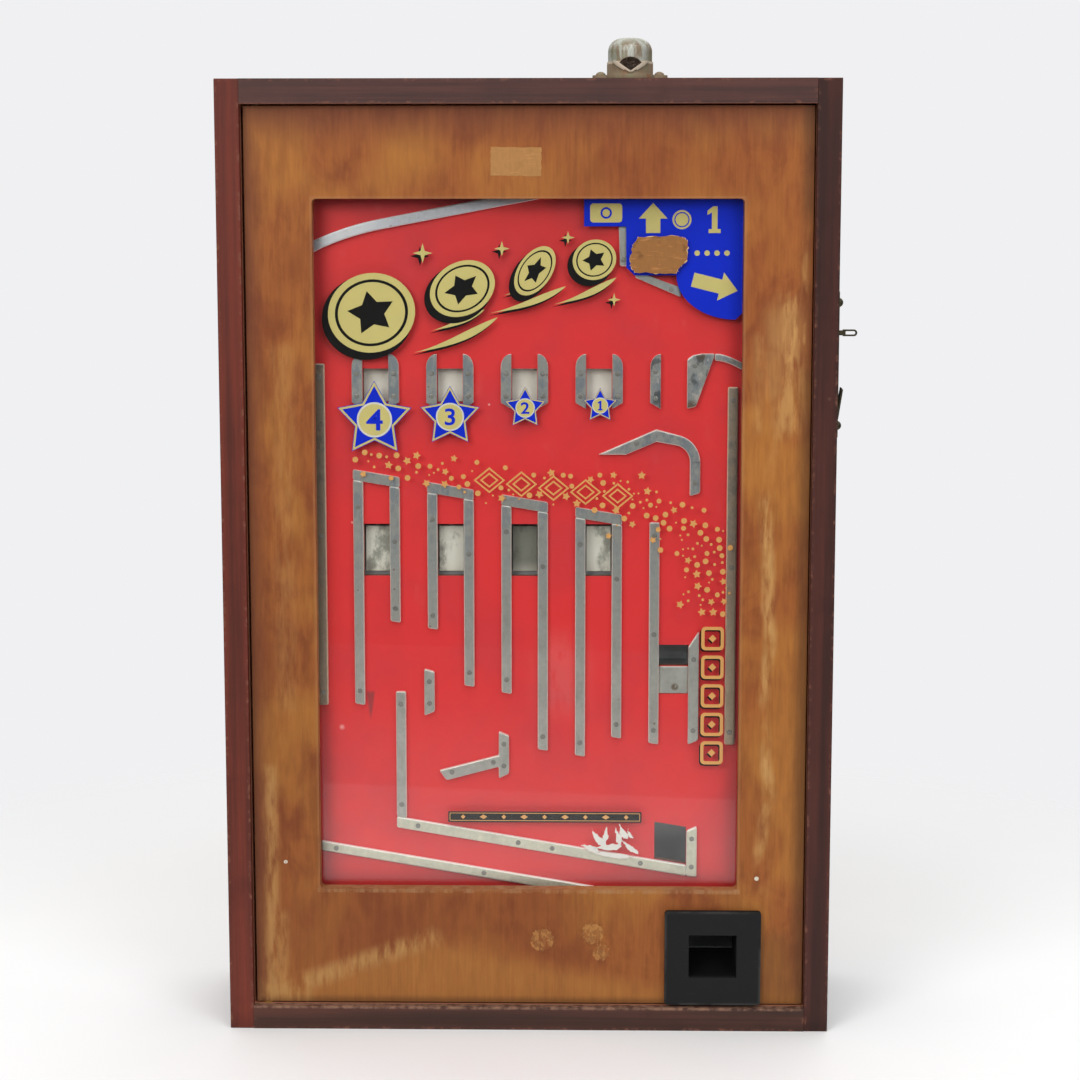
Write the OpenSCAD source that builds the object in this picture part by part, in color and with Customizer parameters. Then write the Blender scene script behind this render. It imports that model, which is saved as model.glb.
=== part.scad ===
// Wall-mounted penny arcade machine: a flicked coin flies over a row of win cups behind a glazed door.
// Frame: +Z up, the door faces -Y, the origin is at the middle of the cabinet's underside.

/* [Cabinet] */
// Overall width of the cabinet
cab_w = 559; // [540:1:620]
// Overall height of the cabinet
cab_h = 876; // [872:1:940]
// Overall depth of the cabinet
cab_d = 178; // [170:1:230]
// Thickness of the side, top and bottom boards
board_t = 22; // [18:0.5:24]
// Thickness of the plywood back
back_t = 6; // [4:0.5:9]
// Depth of the back panel behind the rear edges
back_inset = 3; // [2.5:0.5:6]
// Width and depth of the battens behind the back panel's edges
batten_w = 16; // [12:1:24]
// Distance between wall holes, across
wall_pitch_x = 400; // [300:5:440]
// Distance between wall holes, up and down
wall_pitch_z = 700; // [600:5:760]
// Radius of each wall hole
wall_hole_r = 4; // [3:0.25:6]

/* [Door] */
// Depth of the door's face behind the cabinet's front edges
door_recess = 8; // [7:0.5:12]
// Thickness of the door panel
door_t = 13; // [12:0.5:15]
// Gap at the hinged edge
hinge_gap = 2.5; // [2.2:0.1:3.5]
// Gap at the lock edge
lock_gap = 1.5; // [1:0.5:6]
// Gap over the door
door_gap_top = 1.5; // [1:0.5:4]
// Gap under the door
door_gap_bottom = 2; // [1.5:0.1:4]
// Distance from each side's inner face to the window
stile_w = 63; // [60:0.5:68]
// Height of the window's lower edge above the floor
win_bottom = 133; // [130:0.5:136]
// Distance from the top board down to the window
head_h = 83.5; // [78:0.5:90]
// Corner radius of the window
win_r = 4; // [3:0.5:12]
// Thickness of the glass
glass_t = 4; // [3:0.5:5]
// How far the glass reaches past the window
glass_lap = 10; // [8:0.5:14]
// Width of the glazing bead outside the glass
bead_edge = 8; // [6:0.5:9]
// How far the bead's lip covers the glass
bead_cover = 6; // [4:0.5:7]
// Thickness of the bead's lip
bead_lip = 2.5; // [2:0.25:4]
// Radius of the pivot pins the door turns on
pivot_r = 3; // [2:0.25:4]
// Distance from the hinged edge to the pivot's axis
pivot_in = 10; // [9:0.5:14]
// Length of each pivot pin inside the door
pivot_depth = 14; // [10:1:24]
// Length of each pivot pin inside its board
pivot_root = 14; // [8:1:16]

/* [Payout cup] */
// Outer size of the cup's square face
cup_face = 89.5; // [80:0.5:96]
// Distance from the right side's inner face to the middle of the cup
cup_in = 85.5; // [80:0.5:92]
// How far the face stands proud of the door
cup_proud = 6; // [3:0.5:8]
// Width of the cup's mouth
mouth_w = 44.5; // [36:0.5:48]
// Height of the cup's mouth
mouth_h = 40.5; // [36:0.5:44]
// Height of the mouth's lower edge
mouth_z = 51; // [48:0.5:56]
// Wall of the cup
cup_wall = 3; // [2:0.25:4]
// Depth of the cup behind the door's face
cup_depth = 38; // [32:0.5:44]
// Height of the coin inlet's sill in the cup's rear wall
inlet_z = 66; // [62:0.5:70]

/* [Playfield] */
// Thickness of the playfield board
field_t = 9; // [6:0.5:12]
// How far the playfield reaches below the window
field_lap = 14; // [12:0.5:16]
// Gap between the playfield and each side
field_gap = 7.5; // [4:0.5:9]
// Gap over the playfield
field_gap_top = 9; // [4:1:20]
// Thickness of the rails, the coin's running space
rail_t = 5; // [4:0.25:7]
// Width of the rail strip
rail_w = 9.5; // [8:0.25:10]
// Width of a coin lane
lane_gap = 24.2; // [22:0.1:26]
// Distance from the window's left edge to the first lane's middle
lane_in = 54; // [52:0.5:57]
// Distance from the last lane's middle to the window's right edge
lane_out = 61.4; // [59:0.2:64]
// Slope of the running rails, rise over run
coin_slope = 0.168; // [0.14:0.002:0.19]
// Width and depth of the ledgers that carry the playfield
ledger_w = 22; // [18:0.5:28]
// Height of the gate windows
gate_win_h = 48.5; // [44:0.5:52]
// Distance from the window's top down to the gate windows' sill
gate_drop = 345.5; // [338:0.5:352]
// Height of the win windows
win_cut_h = 30.5; // [26:0.5:31]
// Distance from the window's top down to the win windows' sill
win_cut_drop = 184; // [180:0.5:187]

/* [Payout mechanism] */
// Radius of the shaft that carries the rockers
shaft_r = 3; // [2:0.25:4]
// Distance from the window's top down to the rocker shaft
shaft_drop = 250.5; // [245:0.5:256]
// Distance from the playfield's back to the rocker shaft
shaft_back = 20; // [18:0.5:26]
// Thickness of the rockers' gates and paddles
gate_t = 1.3; // [1:0.1:2]
// Free play between a gate and the playfield's back
gate_gap = 1.5; // [1:0.1:2.5]
// Inner depth of the coin hoppers
hopper_d = 36; // [26:0.5:46]
// Thickness of sheet metal walls
sheet_t = 1.5; // [1:0.1:2]
// Clearance between the cash box and the door's hinged edge as it swings
cash_gap = 1.5; // [1:0.5:20]
// Distance from the back panel's battens to the cash box
cash_back = 3.5; // [2:0.5:40]
// Room over the cash box, under the glazing bead
cash_room = 7; // [4:0.5:30]

/* [Flick lever] */
// Distance from the window's top down to the lever's axis
lever_drop = 120.5; // [118:0.5:124]
// Distance from the right side's inner face to the lever's axis
lever_in = 21.5; // [20:0.5:26]
// How far the finger loop reaches past the side
lever_out = 20; // [18:0.5:26]
// Radius of the lever's pivot
lever_pin_r = 2.5; // [2:0.25:3]
// Travel of the lever, degrees
lever_travel = 40; // [30:1:42]
// Thickness of the lever plate
lever_t = 3.2; // [2:0.1:4]
// Thickness of the side plate
plate_t = 2.5; // [1.5:0.25:3]
// Width of the side plate
plate_w = 24; // [20:0.5:28]
// Distance between the side plate's screws
plate_pitch = 112; // [106:1:120]

/* [Coin hood] */
// Distance from the right side's inner face to the hood's middle
hood_in_x = 166; // [164:0.5:168]
// Outer radius of the hood's cup
hood_r = 20.75; // [18:0.25:22]
// Wall of the hood's cup
hood_wall = 0.9; // [0.8:0.05:1.5]
// Height of the cup's rim over the top board
rim_h = 16; // [14:0.5:18]
// Height of the whole hood over the top board
hood_h = 37; // [34:0.5:42]
// Corner radius of the cap
cap_round = 12; // [6:0.5:14]
// Wall of the cap
cap_wall = 1.6; // [1.2:0.1:2]
// Travel of the cap
cap_travel = 4; // [3:0.5:4.5]
// Thickness of the hood's flange
flange_t = 4.4; // [1.5:0.1:5]
// Distance between the hood's screws
hood_pitch = 52.6; // [50:0.2:56]
// Width of the coin slot
slot_w = 22; // [21:0.25:23]
// Thickness of the coin slot
slot_t = 3; // [2.4:0.1:3.4]
// Radius of the rod the cap pushes
rod_r = 1.5; // [1:0.1:1.6]

/* [Lock] */
// Height of the lock
lock_z = 80; // [76:0.5:100]
// Radius of the lock's barrel
lock_r = 9.5; // [8:0.25:11]
// Distance from the pin on the door to the lock's axis
hook_r = 20; // [18:0.5:22]
// Radius of the pin on the door
strike_r = 2; // [1.5:0.25:2.5]

/* [Fits] */
// Radial clearance of turning and sliding fits
run_fit = 0.06; // [0.03:0.01:0.1]
// Clearance of pieces that lie side by side
seat_gap = 0.3; // [0.2:0.05:0.5]

/* [Hidden] */
$fn = 48;
// Extra length of a cut past the face it opens
over = 1;

// Depths, from the front edge of the cabinet backwards
front_y = -cab_d / 2;
door_front = front_y + door_recess;
door_back = door_front + door_t;
glass_back = door_back + glass_t;
bead_back = glass_back + bead_lip;
rail_front = bead_back + seat_gap + 0.2;
field_front = rail_front + rail_t;
field_back = field_front + field_t;
coin_y = field_front - 2;
panel_back = cab_d / 2 - back_inset;
panel_front = panel_back - back_t;

// Inner faces of the cabinet
side_in = cab_w / 2 - board_t;
floor_z = board_t;
ceiling_z = cab_h - board_t;

// Door outline and its pivot
door_left = -side_in + hinge_gap;
door_right = side_in - lock_gap;
door_low = floor_z + door_gap_bottom;
door_high = ceiling_z - door_gap_top;
pivot_x = door_left + pivot_in;
pivot_y = door_front + door_t / 2;
washer_t = door_gap_bottom - seat_gap;
win_w = 2 * (side_in - stile_w);
win_left = -win_w / 2;
win_right = win_w / 2;
win_top = ceiling_z - head_h;

// Payout cup, measured from its mouth
cup_x = side_in - cup_in;
cup_low = max(door_low, mouth_z - (cup_face - mouth_h) / 2 - 2);
cup_back = door_front + cup_depth;
inlet_h = mouth_z + mouth_h - inlet_z;

// Playfield outline and lanes
field_w = 2 * (side_in - field_gap);
field_top = ceiling_z - field_gap_top;
field_bottom = win_bottom - field_lap;
lanes = 4;
lane_x = win_left + lane_in;
lane_pitch = (win_w - lane_in - lane_out) / lanes;
function lane(i) = lane_x + i * lane_pitch;
half_lane = lane_gap / 2;
half_cell = half_lane + rail_w;
gate_sill = win_top - gate_drop;
win_cut_z = win_top - win_cut_drop;
shaft_z = win_top - shaft_drop;
lever_z = win_top - lever_drop;
hood_x = side_in - hood_in_x;

// Side rails: inset from the window's edges and ends
left_rail_x = win_left - 2;
left_rail_foot = win_bottom + 170.5;
left_rail_top = win_top - 149;
right_rail_x = win_right - 12;
right_rail_foot = win_bottom + 134;
right_rail_top = win_top - 170;

// Win cup strips: tip, shoulder and slanted foot
cup_tip_z = win_top - 140;
cup_shoulder_z = cup_tip_z - 12;
cup_foot_in = cup_tip_z - 50;
cup_foot_out = cup_foot_in + 5.5;

// Columns: the roofs follow one sloping line, each strip has its own foot over the window's lower edge
roof_z = win_top - 246.2;
roof_x = lane_x - half_cell;
function roof_line(x) = roof_z - coin_slope * (x - roof_x);
left_feet_h = [172, 243.5, 183, 123.5];
right_feet_h = [250, 189.5, 129, 141];
function left_foot(i) = win_bottom + left_feet_h[i];
function right_foot(i) = win_bottom + right_feet_h[i];
bonus_gap = 27.5;
bonus_win_h = 19.7;
bonus_plate_h = 25.5;
bonus_top = win_top - 294.8;
bonus_foot = win_bottom + 135.5;
bonus_sill = win_bottom + 208;
bonus_shoulder = bonus_sill + 18.6;
bonus_tip = bonus_sill + 33;
bonus_left = lane(lanes) - half_lane;
bonus_right = bonus_left + bonus_gap;

// Payout and cash rails
payout_x0 = lane(0) + 16.5;
payout_x1 = bonus_right - 0.7;
payout_rail_h = 10.4;
payout_z0 = win_bottom + 63.8;
function payout_line(x) = payout_z0 - coin_slope * (x - payout_x0);
payout_win_w = 29.8;
payout_win_h = 35.9;
payout_win_x = payout_x1 - payout_win_w;
cash_rail_h = 9.2;
cash_x0 = win_left - 0.8;
cash_x1 = lane(3) - 2.7;
cash_z0 = win_bottom + 40.3;
function cash_line(x) = cash_z0 - coin_slope * (x - cash_x0);

// Lever and launch track
lever_x = side_in - lever_in;
lever_y = field_front - seat_gap - 2.6;
hub_d = 5.2;
hub_r = 6;
arm_h = 4.6;
lever_tip = cab_w / 2 + lever_out;
loop_r = 3.1;
loop_hole_r = 1.5;
loop_len = 9;
hammer_len = 27;
track_x0 = lane(lanes) + half_lane + 25.1;
track_x1 = lever_x - 7;
track_top = cup_tip_z + 0.5;
track_drop = 15;
track_h = 6.5;
track_run = track_x1 - 12 - track_x0;
function track_line(x) = track_top - track_drop / 2 * (1 - cos(180 * min(1, (x - track_x0) / track_run)));
side_slot_low = lever_z - (cab_w / 2 + plate_t - lever_x) * tan(lever_travel) - 7;
side_slot_high = lever_z + arm_h / 2 + 2.5;
side_slot_t = lever_t + 2.6;
plate_top_screw = lever_z + 27.5;
plate_low_screw = plate_top_screw - plate_pitch;
spring_x = lever_x + 12;
spring_low = lever_z - arm_h / 2 - 18;
spring_seat_t = 3;

// Coin hood and chute
hood_base = cab_h;
rim_z = hood_base + rim_h;
hood_floor = hood_base + flange_t + 0.6;
hood_in = hood_r - hood_wall;
cap_r = hood_in - run_fit;
cap_top = hood_base + hood_h;
cap_skirt = hood_floor + cap_travel + 0.8;
arch_r = 12.3;
arch_z = rim_z - 8.8;
notch_half = 13.4;
notch_low = 4.8;
notch_z = hood_floor + 1.9;
rod_at = hood_x - slot_w / 2 - rod_r - 2.6;
rod_high = cap_top - cap_round;
boss_r = rod_r + 0.8;
chute_low = win_top - 18.5;
chute_shift = 10;
chute_half = slot_w / 2 + 1;
flap_x = hood_x - 3;
flap_z = win_top + 21.5;
flap_len = 38;
flap_pin_r = 2;
flap_hub_r = 4;
flap_t = 2.4;
crank_top = 3;
rod_low = flap_z + crank_top + seat_gap;
hood_spring_y = coin_y + 7.5;
hood_spring_r = 3.6;
spring_wire = 0.45;
spring_turns = 7;

// Rockers and hoppers
shaft_y = field_back + shaft_back;
gate_front = field_back + gate_gap;
hopper_front = gate_front + gate_t + seat_gap;
hopper_back = field_back + hopper_d;
gate_half = half_lane - 0.8;
gate_low = gate_sill + 3;
gate_rise = 2.8;
gate_high = gate_sill + gate_win_h - gate_rise;
hub_half = 12;
rocker_hub_r = 7;
bracket_t = 6;
shaft_x0 = lane(0) - half_cell - 5;
shaft_x1 = lane(3) + half_cell + 5;

// Lock
lock_y = cup_back + 16;
hook_in = cab_w / 2 - 33;
hook_t = 2.5;
strike_y = lock_y - hook_r;

// Points of an arc about (cx, cz), from angle a0 to a1
function arc(cx, cz, r, a0, a1, n = 8) =
    [for (i = [0 : n]) let (a = a0 + (a1 - a0) * i / n) [cx + r * cos(a), cz + r * sin(a)]];

// A plate of outline points in the XZ plane, from depth y0 back to y1
module upright(points, y0, y1) {
    translate([0, y1, 0]) rotate([90, 0, 0]) linear_extrude(y1 - y0) polygon(points);
}

// A plate of outline points in the YZ plane, from x0 to x1
module side_on(points, x0, x1) {
    translate([x0, 0, 0]) rotate([90, 0, 90]) linear_extrude(x1 - x0) polygon(points);
}

// A box between two corners
module box(low, high) {
    translate(low) cube(high - low);
}

// A rod along Y at (x, z), from y0 back to y1
module along_y(x, z, r, y0, y1) {
    translate([x, y1, z]) rotate([90, 0, 0]) cylinder(r = r, h = y1 - y0);
}

// A rod along X at (y, z), from x0 to x1
module along_x(y, z, r, x0, x1) {
    translate([x0, y, z]) rotate([0, 90, 0]) cylinder(r = r, h = x1 - x0);
}

// A rail lies on the playfield and fills the coin's running space
module rail(points) {
    upright(points, rail_front, field_front);
}

// A vertical strip from its left edge, with slanted ends
module strip(x, foot_l, foot_r, top_l, top_r) {
    rail([[x, foot_l], [x + rail_w, foot_r], [x + rail_w, top_r], [x, top_l]]);
}

// A shallow screw dome that stands along +X, -Y or +Y on a face
module dome_screw(r, h) {
    rotate_extrude() polygon(concat([[0, 0]], arc(0, 0, 1, 0, 90, 6) * [[r, 0], [0, h]]));
}

// A round rod wound along Z from z = 0 to h
module coil(r, wire, turns, h, rings = 8, sides = 6) {
    n = turns * rings;
    points = [for (i = [0 : n], j = [0 : sides - 1])
        let (a = 360 * i / rings, b = 360 * j / sides, q = r + wire * cos(b))
        [q * cos(a), q * sin(a), h * i / n + wire * sin(b)]];
    walls = [for (i = [0 : n - 1], j = [0 : sides - 1])
        let (a = i * sides + j, b = i * sides + (j + 1) % sides)
        each [[a, b + sides, b], [a, a + sides, b + sides]]];
    caps = [for (j = [1 : sides - 2]) each [[0, j, j + 1], [n * sides, n * sides + j + 1, n * sides + j]]];
    echo(coil_gap = h / turns - 2 * wire);
    polyhedron(points, concat(walls, caps));
}

// A side board
module side_board(x) {
    box([x, front_y, 0], [x + board_t, cab_d / 2, cab_h]);
}

module left_side() {
    color("#5f3430") side_board(-cab_w / 2);
}

module right_side() {
    color("#4a2d2a") difference() {
        side_board(side_in);
        box([side_in - over, lever_y - side_slot_t / 2, side_slot_low],
            [cab_w / 2 + over, lever_y + side_slot_t / 2, side_slot_high]);
        along_x(lock_y, lock_z, lock_r + run_fit, side_in - over, cab_w / 2 + over);
        along_x(lock_y, lock_z, lock_r + 3.5 + seat_gap, cab_w / 2 - 3, cab_w / 2 + over);
    }
}

module top_board() {
    color("#53393a") difference() {
        box([-side_in, front_y, ceiling_z], [side_in, cab_d / 2, cab_h]);
        box([hood_x - chute_half, coin_y - slot_t, ceiling_z - over],
            [hood_x + chute_half, coin_y + slot_t, cab_h + over]);
        translate([rod_at, coin_y, ceiling_z - over]) cylinder(r = rod_r + 0.5, h = board_t + 2 * over);
        translate([pivot_x, pivot_y, ceiling_z - over]) cylinder(r = pivot_r, h = pivot_root + over);
    }
}

module bottom_board() {
    color("#4d2f2b") difference() {
        box([-side_in, front_y, 0], [side_in, cab_d / 2, floor_z]);
        translate([pivot_x, pivot_y, floor_z - pivot_root]) cylinder(r = pivot_r, h = pivot_root + over);
    }
}

module back_panel() {
    color("#a8814f") difference() {
        box([-side_in, panel_front, floor_z], [side_in, panel_back, ceiling_z]);
        for (sx = [-1, 1], sz = [-1, 1])
            along_y(sx * wall_pitch_x / 2, cab_h / 2 + sz * wall_pitch_z / 2, wall_hole_r,
                panel_front - over, panel_back + over);
    }
}

module back_battens() {
    color("#8a6a44") for (sx = [-1, 1])
        box([sx * (side_in - batten_w / 2) - batten_w / 2, panel_front - batten_w, floor_z],
            [sx * (side_in - batten_w / 2) + batten_w / 2, panel_front, ceiling_z]);
}

module back_screws() {
    rows = 5;
    color("#9a9a98") for (sx = [-1, 1], i = [0 : rows - 1])
        translate([sx * (side_in - batten_w / 2), panel_back, floor_z + (i + 0.5) * (ceiling_z - floor_z) / rows])
            rotate([-90, 0, 0]) dome_screw(4, 2);
}

module field_ledgers() {
    color("#8a6a44") for (sx = [-1, 1])
        box([sx * (side_in - ledger_w / 2) - ledger_w / 2, field_back, field_bottom],
            [sx * (side_in - ledger_w / 2) + ledger_w / 2, field_back + ledger_w, field_top]);
}

module field_screws() {
    rows = 4;
    color("#9a9a98") for (sx = [-1, 1], i = [0 : rows - 1])
        translate([sx * (side_in - field_gap - 5), field_front,
            field_bottom + (i + 0.5) * (field_top - field_bottom) / rows])
            rotate([90, 0, 0]) dome_screw(3.5, 1.6);
}

// A cut through the playfield
module field_cut(points) {
    upright(points, field_front - over, field_back + over);
}

function rect(x0, z0, x1, z1) = [[x0, z0], [x1, z0], [x1, z1], [x0, z1]];

payout_window = [[payout_win_x, payout_line(payout_win_x)], [payout_x1, payout_line(payout_x1)],
    [payout_x1, payout_line(payout_x1) + payout_win_h], [payout_win_x, payout_line(payout_win_x) + payout_win_h]];

module playfield() {
    color("#d43436") difference() {
        upright(rect(-field_w / 2, field_bottom, field_w / 2, field_top), field_front, field_back);
        for (i = [0 : lanes - 1]) {
            field_cut(rect(lane(i) - half_lane + 0.5, win_cut_z, lane(i) + half_lane - 0.5, win_cut_z + win_cut_h));
            field_cut(rect(lane(i) - half_lane, gate_sill, lane(i) + half_lane, gate_sill + gate_win_h));
        }
        field_cut(rect(bonus_left, bonus_sill, bonus_right, bonus_sill + bonus_win_h));
        field_cut(payout_window);
        along_y(lever_x, lever_z, lever_pin_r, field_front - over, field_back + over);
        along_y(flap_x, flap_z, flap_pin_r, field_front - over, field_back + over);
    }
}

module side_rails() {
    color("#84898a") {
        strip(left_rail_x, left_rail_foot, left_rail_foot, left_rail_top, left_rail_top);
        strip(right_rail_x, right_rail_foot, right_rail_foot, right_rail_top, right_rail_top);
    }
}

// A long rail, straight on the right and bent down at its left end
module top_arch_rail() {
    bend_r = 250;
    bend_x = win_left + 59.5;
    bend_z = win_top - 22.5;
    lean = 10.8;
    left_lean = 27;
    end_x = bend_x + 157;
    clip_z = win_top + 4.5;
    run = (end_x - bend_x) / cos(lean);
    centre = [bend_x + bend_r * sin(lean), bend_z - bend_r * cos(lean)];
    outer = bend_r + rail_w / 2;
    inner = bend_r - rail_w / 2;
    reach = run * [cos(lean), sin(lean)];
    edge = concat(arc(centre.x, centre.y, outer, 90 + left_lean, 90 + lean, 10),
        [arc(centre.x, centre.y, outer, 90 + lean, 90 + lean, 1)[0] + reach,
         arc(centre.x, centre.y, inner, 90 + lean, 90 + lean, 1)[0] + reach],
        arc(centre.x, centre.y, inner, 90 + lean, 90 + left_lean, 10));
    color("#84898a") intersection() {
        rail(edge);
        box([-side_in, rail_front - over, bend_z - 2 * bend_r], [side_in, field_front + over, clip_z]);
    }
}

// A win cup strip; side is -1 for the left strip of a pair
function cup_strip(x, side) = concat(
    [[x, cup_foot_in], [x + side * rail_w, cup_foot_out]],
    [for (a = [0 : 15 : 90]) [x + side * rail_w * cos(a), cup_shoulder_z + (cup_tip_z - cup_shoulder_z) * sin(a)]]);

module win_cup_rails() {
    color("#84898a") {
        for (i = [0 : lanes - 1], side = [-1, 1])
            rail(cup_strip(lane(i) + side * half_lane, side));
        rail(cup_strip(lane(lanes) - half_lane, -1));
    }
}

module launch_wedge() {
    x = lane(lanes) + half_lane;
    color("#84898a") rail([[x, cup_foot_in], [x + 8, cup_foot_in + 2], [track_x0 - 1.5, track_top - 5],
        [track_x0 - seat_gap, track_top], [x + 13, track_top], [x + 5, track_top - 1.6], [x, track_top - 5]]);
}

module launch_track() {
    steps = 14;
    xs = [for (i = [0 : steps]) track_x0 + (track_x1 - track_x0) * i / steps];
    color("#84898a") rail(concat([for (x = xs) [x, track_line(x)]],
        [for (i = [steps : -1 : 0]) [xs[i], track_line(xs[i]) - track_h]]));
}

entry_x = hood_x - 9.5;
entry_z = win_top - 60.5;
ramp_x = hood_x + 5.5;
ramp_z = win_top - 70.5;
ramp_run = 41.6;

module entry_rails() {
    color("#84898a") {
        rail([[entry_x + 1.3, entry_z], [entry_x + 8, entry_z], [entry_x + 7, entry_z + 37], [entry_x, entry_z + 37]]);
        rail([[ramp_x, ramp_z], [ramp_x + ramp_run, ramp_z - 17.7], [ramp_x + ramp_run, ramp_z - 9.2],
            [ramp_x, ramp_z + 6]]);
    }
}

// A pitched strip whose right end bends down
module roof_deflector() {
    apex = [lane(lanes) - 15.8, win_top - 208.9];
    eave = apex - [53.7, 23.4];
    bend = apex + [15.2, -30.1];
    bend_out = 25.3;
    turn = 72;
    tail = 28.5;
    color("#84898a") rail(concat([eave, apex], arc(bend.x, bend.y, bend_out, turn, 0),
        [bend + [bend_out, -tail], bend + [bend_out - rail_w, -tail - 3]],
        arc(bend.x, bend.y, bend_out - rail_w, 0, turn), [apex - [0, 11.4], eave + [25.6, 0]]));
}

module column_roofs() {
    color("#84898a") for (i = [0 : lanes - 1]) {
        x0 = lane(i) - half_cell;
        x1 = lane(i) + half_cell;
        rail([[x0, roof_line(x0) - rail_w], [x1, roof_line(x1) - rail_w], [x1, roof_line(x1)], [x0, roof_line(x0)]]);
    }
}

module column_rails() {
    lean = coin_slope * rail_w;
    color("#84898a") {
        for (i = [0 : lanes - 1]) {
            x0 = lane(i) - half_cell;
            x1 = lane(i) + half_lane;
            strip(x0, left_foot(i), left_foot(i) - lean, roof_line(x0) - rail_w, roof_line(x0) - rail_w - lean);
            strip(x1, right_foot(i), right_foot(i) - lean, roof_line(x1) - rail_w, roof_line(x1) - rail_w - lean);
        }
        strip(bonus_left - rail_w, bonus_foot, bonus_foot - lean, bonus_top, bonus_top);
        strip(bonus_right, bonus_foot - 1.5, bonus_foot + 2.5, bonus_shoulder, bonus_tip);
    }
}

module bonus_plate() {
    color("#767a78")
        upright(rect(bonus_left + seat_gap, bonus_sill - bonus_plate_h - 0.5, bonus_right - seat_gap, bonus_sill - 0.5),
            field_front - 1.2, field_front);
}

// Two strips and a tee that turn the coins on their way down
short_x = lane(0) + 43.2;
short_z = win_bottom + 160.5;
short_h = 44.5;
tall_top = win_bottom + 183.4;
tee_x = lane(1) + 44.1;
tee_z = win_bottom + 101;
tee_h = 44.8;
tee_arm = [55.9, 14.9];

module guide_rails() {
    tee_root = tee_z + 22.3;
    color("#9a9f9c") {
        strip(short_x, short_z, short_z + 4, short_z + short_h, short_z + short_h - 2.7);
        strip(payout_x0, payout_line(payout_x0) + seat_gap, payout_line(payout_x0 + rail_w) + seat_gap,
            tall_top, tall_top);
        union() {
            strip(tee_x, tee_z, tee_z + 4.5, tee_z + tee_h, tee_z + tee_h - 4);
            rail([[tee_x + over, tee_root - 11], [tee_x + over, tee_root], [tee_x - tee_arm.x, tee_root - tee_arm.y],
                [tee_x - tee_arm.x + 6.9, tee_root - tee_arm.y - 9.4]]);
        }
    }
}

module payout_rail() {
    color("#c8cdc3") rail([[payout_x0, payout_line(payout_x0) - payout_rail_h],
        [payout_x1, payout_line(payout_x1) - payout_rail_h], [payout_x1, payout_line(payout_x1)],
        [payout_x0, payout_line(payout_x0)]]);
}

module payout_stop() {
    payout_stop_h = 43.5;
    foot = payout_line(payout_x1) - payout_rail_h;
    color("#c8cdc3") strip(payout_x1 + seat_gap, foot, foot - 1, foot + payout_stop_h, foot + payout_stop_h + 4.2);
}

module cash_rail() {
    color("#c8cdc3") rail([[cash_x0, cash_line(cash_x0) - cash_rail_h], [cash_x1, cash_line(cash_x1) - cash_rail_h],
        [cash_x1, cash_line(cash_x1)], [cash_x0, cash_line(cash_x0)]]);
}

// Slotted screw heads on the rails, as places on the playfield
mid = rail_w / 2;
screw_in = 12;
function ends(x, foot, top) = [[x + mid, foot + screw_in], [x + mid, top - screw_in]];
screw_spots = concat(
    [for (i = [0 : lanes - 1], side = [-1, 1], z = [cup_foot_out + 6, cup_shoulder_z - 6])
        [lane(i) + side * (half_lane + mid), z]],
    [for (z = [cup_foot_out + 4, cup_shoulder_z - 4]) [bonus_left - mid, z]],
    [for (i = [0 : lanes - 1]) each concat(
        ends(lane(i) - half_cell, left_foot(i), roof_line(lane(i)) - 2 * rail_w),
        ends(lane(i) + half_lane, right_foot(i), roof_line(lane(i) + half_cell) - 5 * rail_w))],
    ends(bonus_left - rail_w, bonus_foot, bonus_top), [[bonus_left - mid, bonus_sill + 30]],
    ends(bonus_right, bonus_foot, bonus_shoulder),
    ends(left_rail_x, left_rail_foot, left_rail_top), [[left_rail_x + mid, (left_rail_foot + left_rail_top) / 2]],
    ends(right_rail_x, right_rail_foot, right_rail_top),
    [[right_rail_x + mid, (right_rail_foot + right_rail_top) / 2]],
    ends(payout_x0, payout_z0, tall_top), ends(short_x, short_z, short_z + short_h),
    ends(tee_x, tee_z, tee_z + tee_h), [[tee_x - tee_arm.x + 12, tee_z + 6], [tee_x - 5, tee_z + 15.5]],
    [for (x = [payout_x0 + 20, payout_x0 + 114, payout_x0 + 146, payout_x1 - 43])
        [x, payout_line(x) - payout_rail_h / 2]],
    [for (x = [cash_x0 + 14, cash_x0 + 153, cash_x1 - 19]) [x, cash_line(x) - cash_rail_h / 2]],
    [for (h = [9, 36]) [payout_x1 + seat_gap + mid, payout_line(payout_x1) - payout_rail_h + h]],
    [[lane(lanes) - 34, win_top - 221.5], [lane(lanes) + 20, win_top - 258], [lane(lanes) + 19, track_top - 11],
        [track_x0 + 15, track_line(track_x0 + 15) - track_h / 2], [entry_x + 4, entry_z + 6],
        [ramp_x + 33, ramp_z - 10.5]]);

module rail_screws() {
    color("#6e6a62") for (spot = screw_spots)
        along_y(spot.x, spot.y, 2, rail_front - 0.4, rail_front);
}

// Open boxes behind the gate windows, with floors that slope to the gates
module coin_hoppers() {
    floor_low = gate_sill - 4;
    color("#8d9294") for (i = [0 : lanes - 1]) translate([lane(i), 0, 0]) {
        side_on([[hopper_front, floor_low], [hopper_back, floor_low], [hopper_back, gate_sill + 15],
            [hopper_front, gate_sill + 5]], -half_lane - seat_gap, half_lane + seat_gap);
        for (side = [-1, 1]) {
            x = side * (half_lane + seat_gap + sheet_t / 2);
            box([x - sheet_t / 2, field_back, floor_low], [x + sheet_t / 2, hopper_back, gate_sill + 47]);
        }
        box([-half_lane - seat_gap - sheet_t, hopper_back, floor_low],
            [half_lane + seat_gap + sheet_t, hopper_back + sheet_t, gate_sill + 47]);
    }
}

module rocker_shaft() {
    color("#a7abad") along_x(shaft_y, shaft_z, shaft_r, shaft_x0 - bracket_t - 1, shaft_x1 + bracket_t + 1);
}

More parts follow.
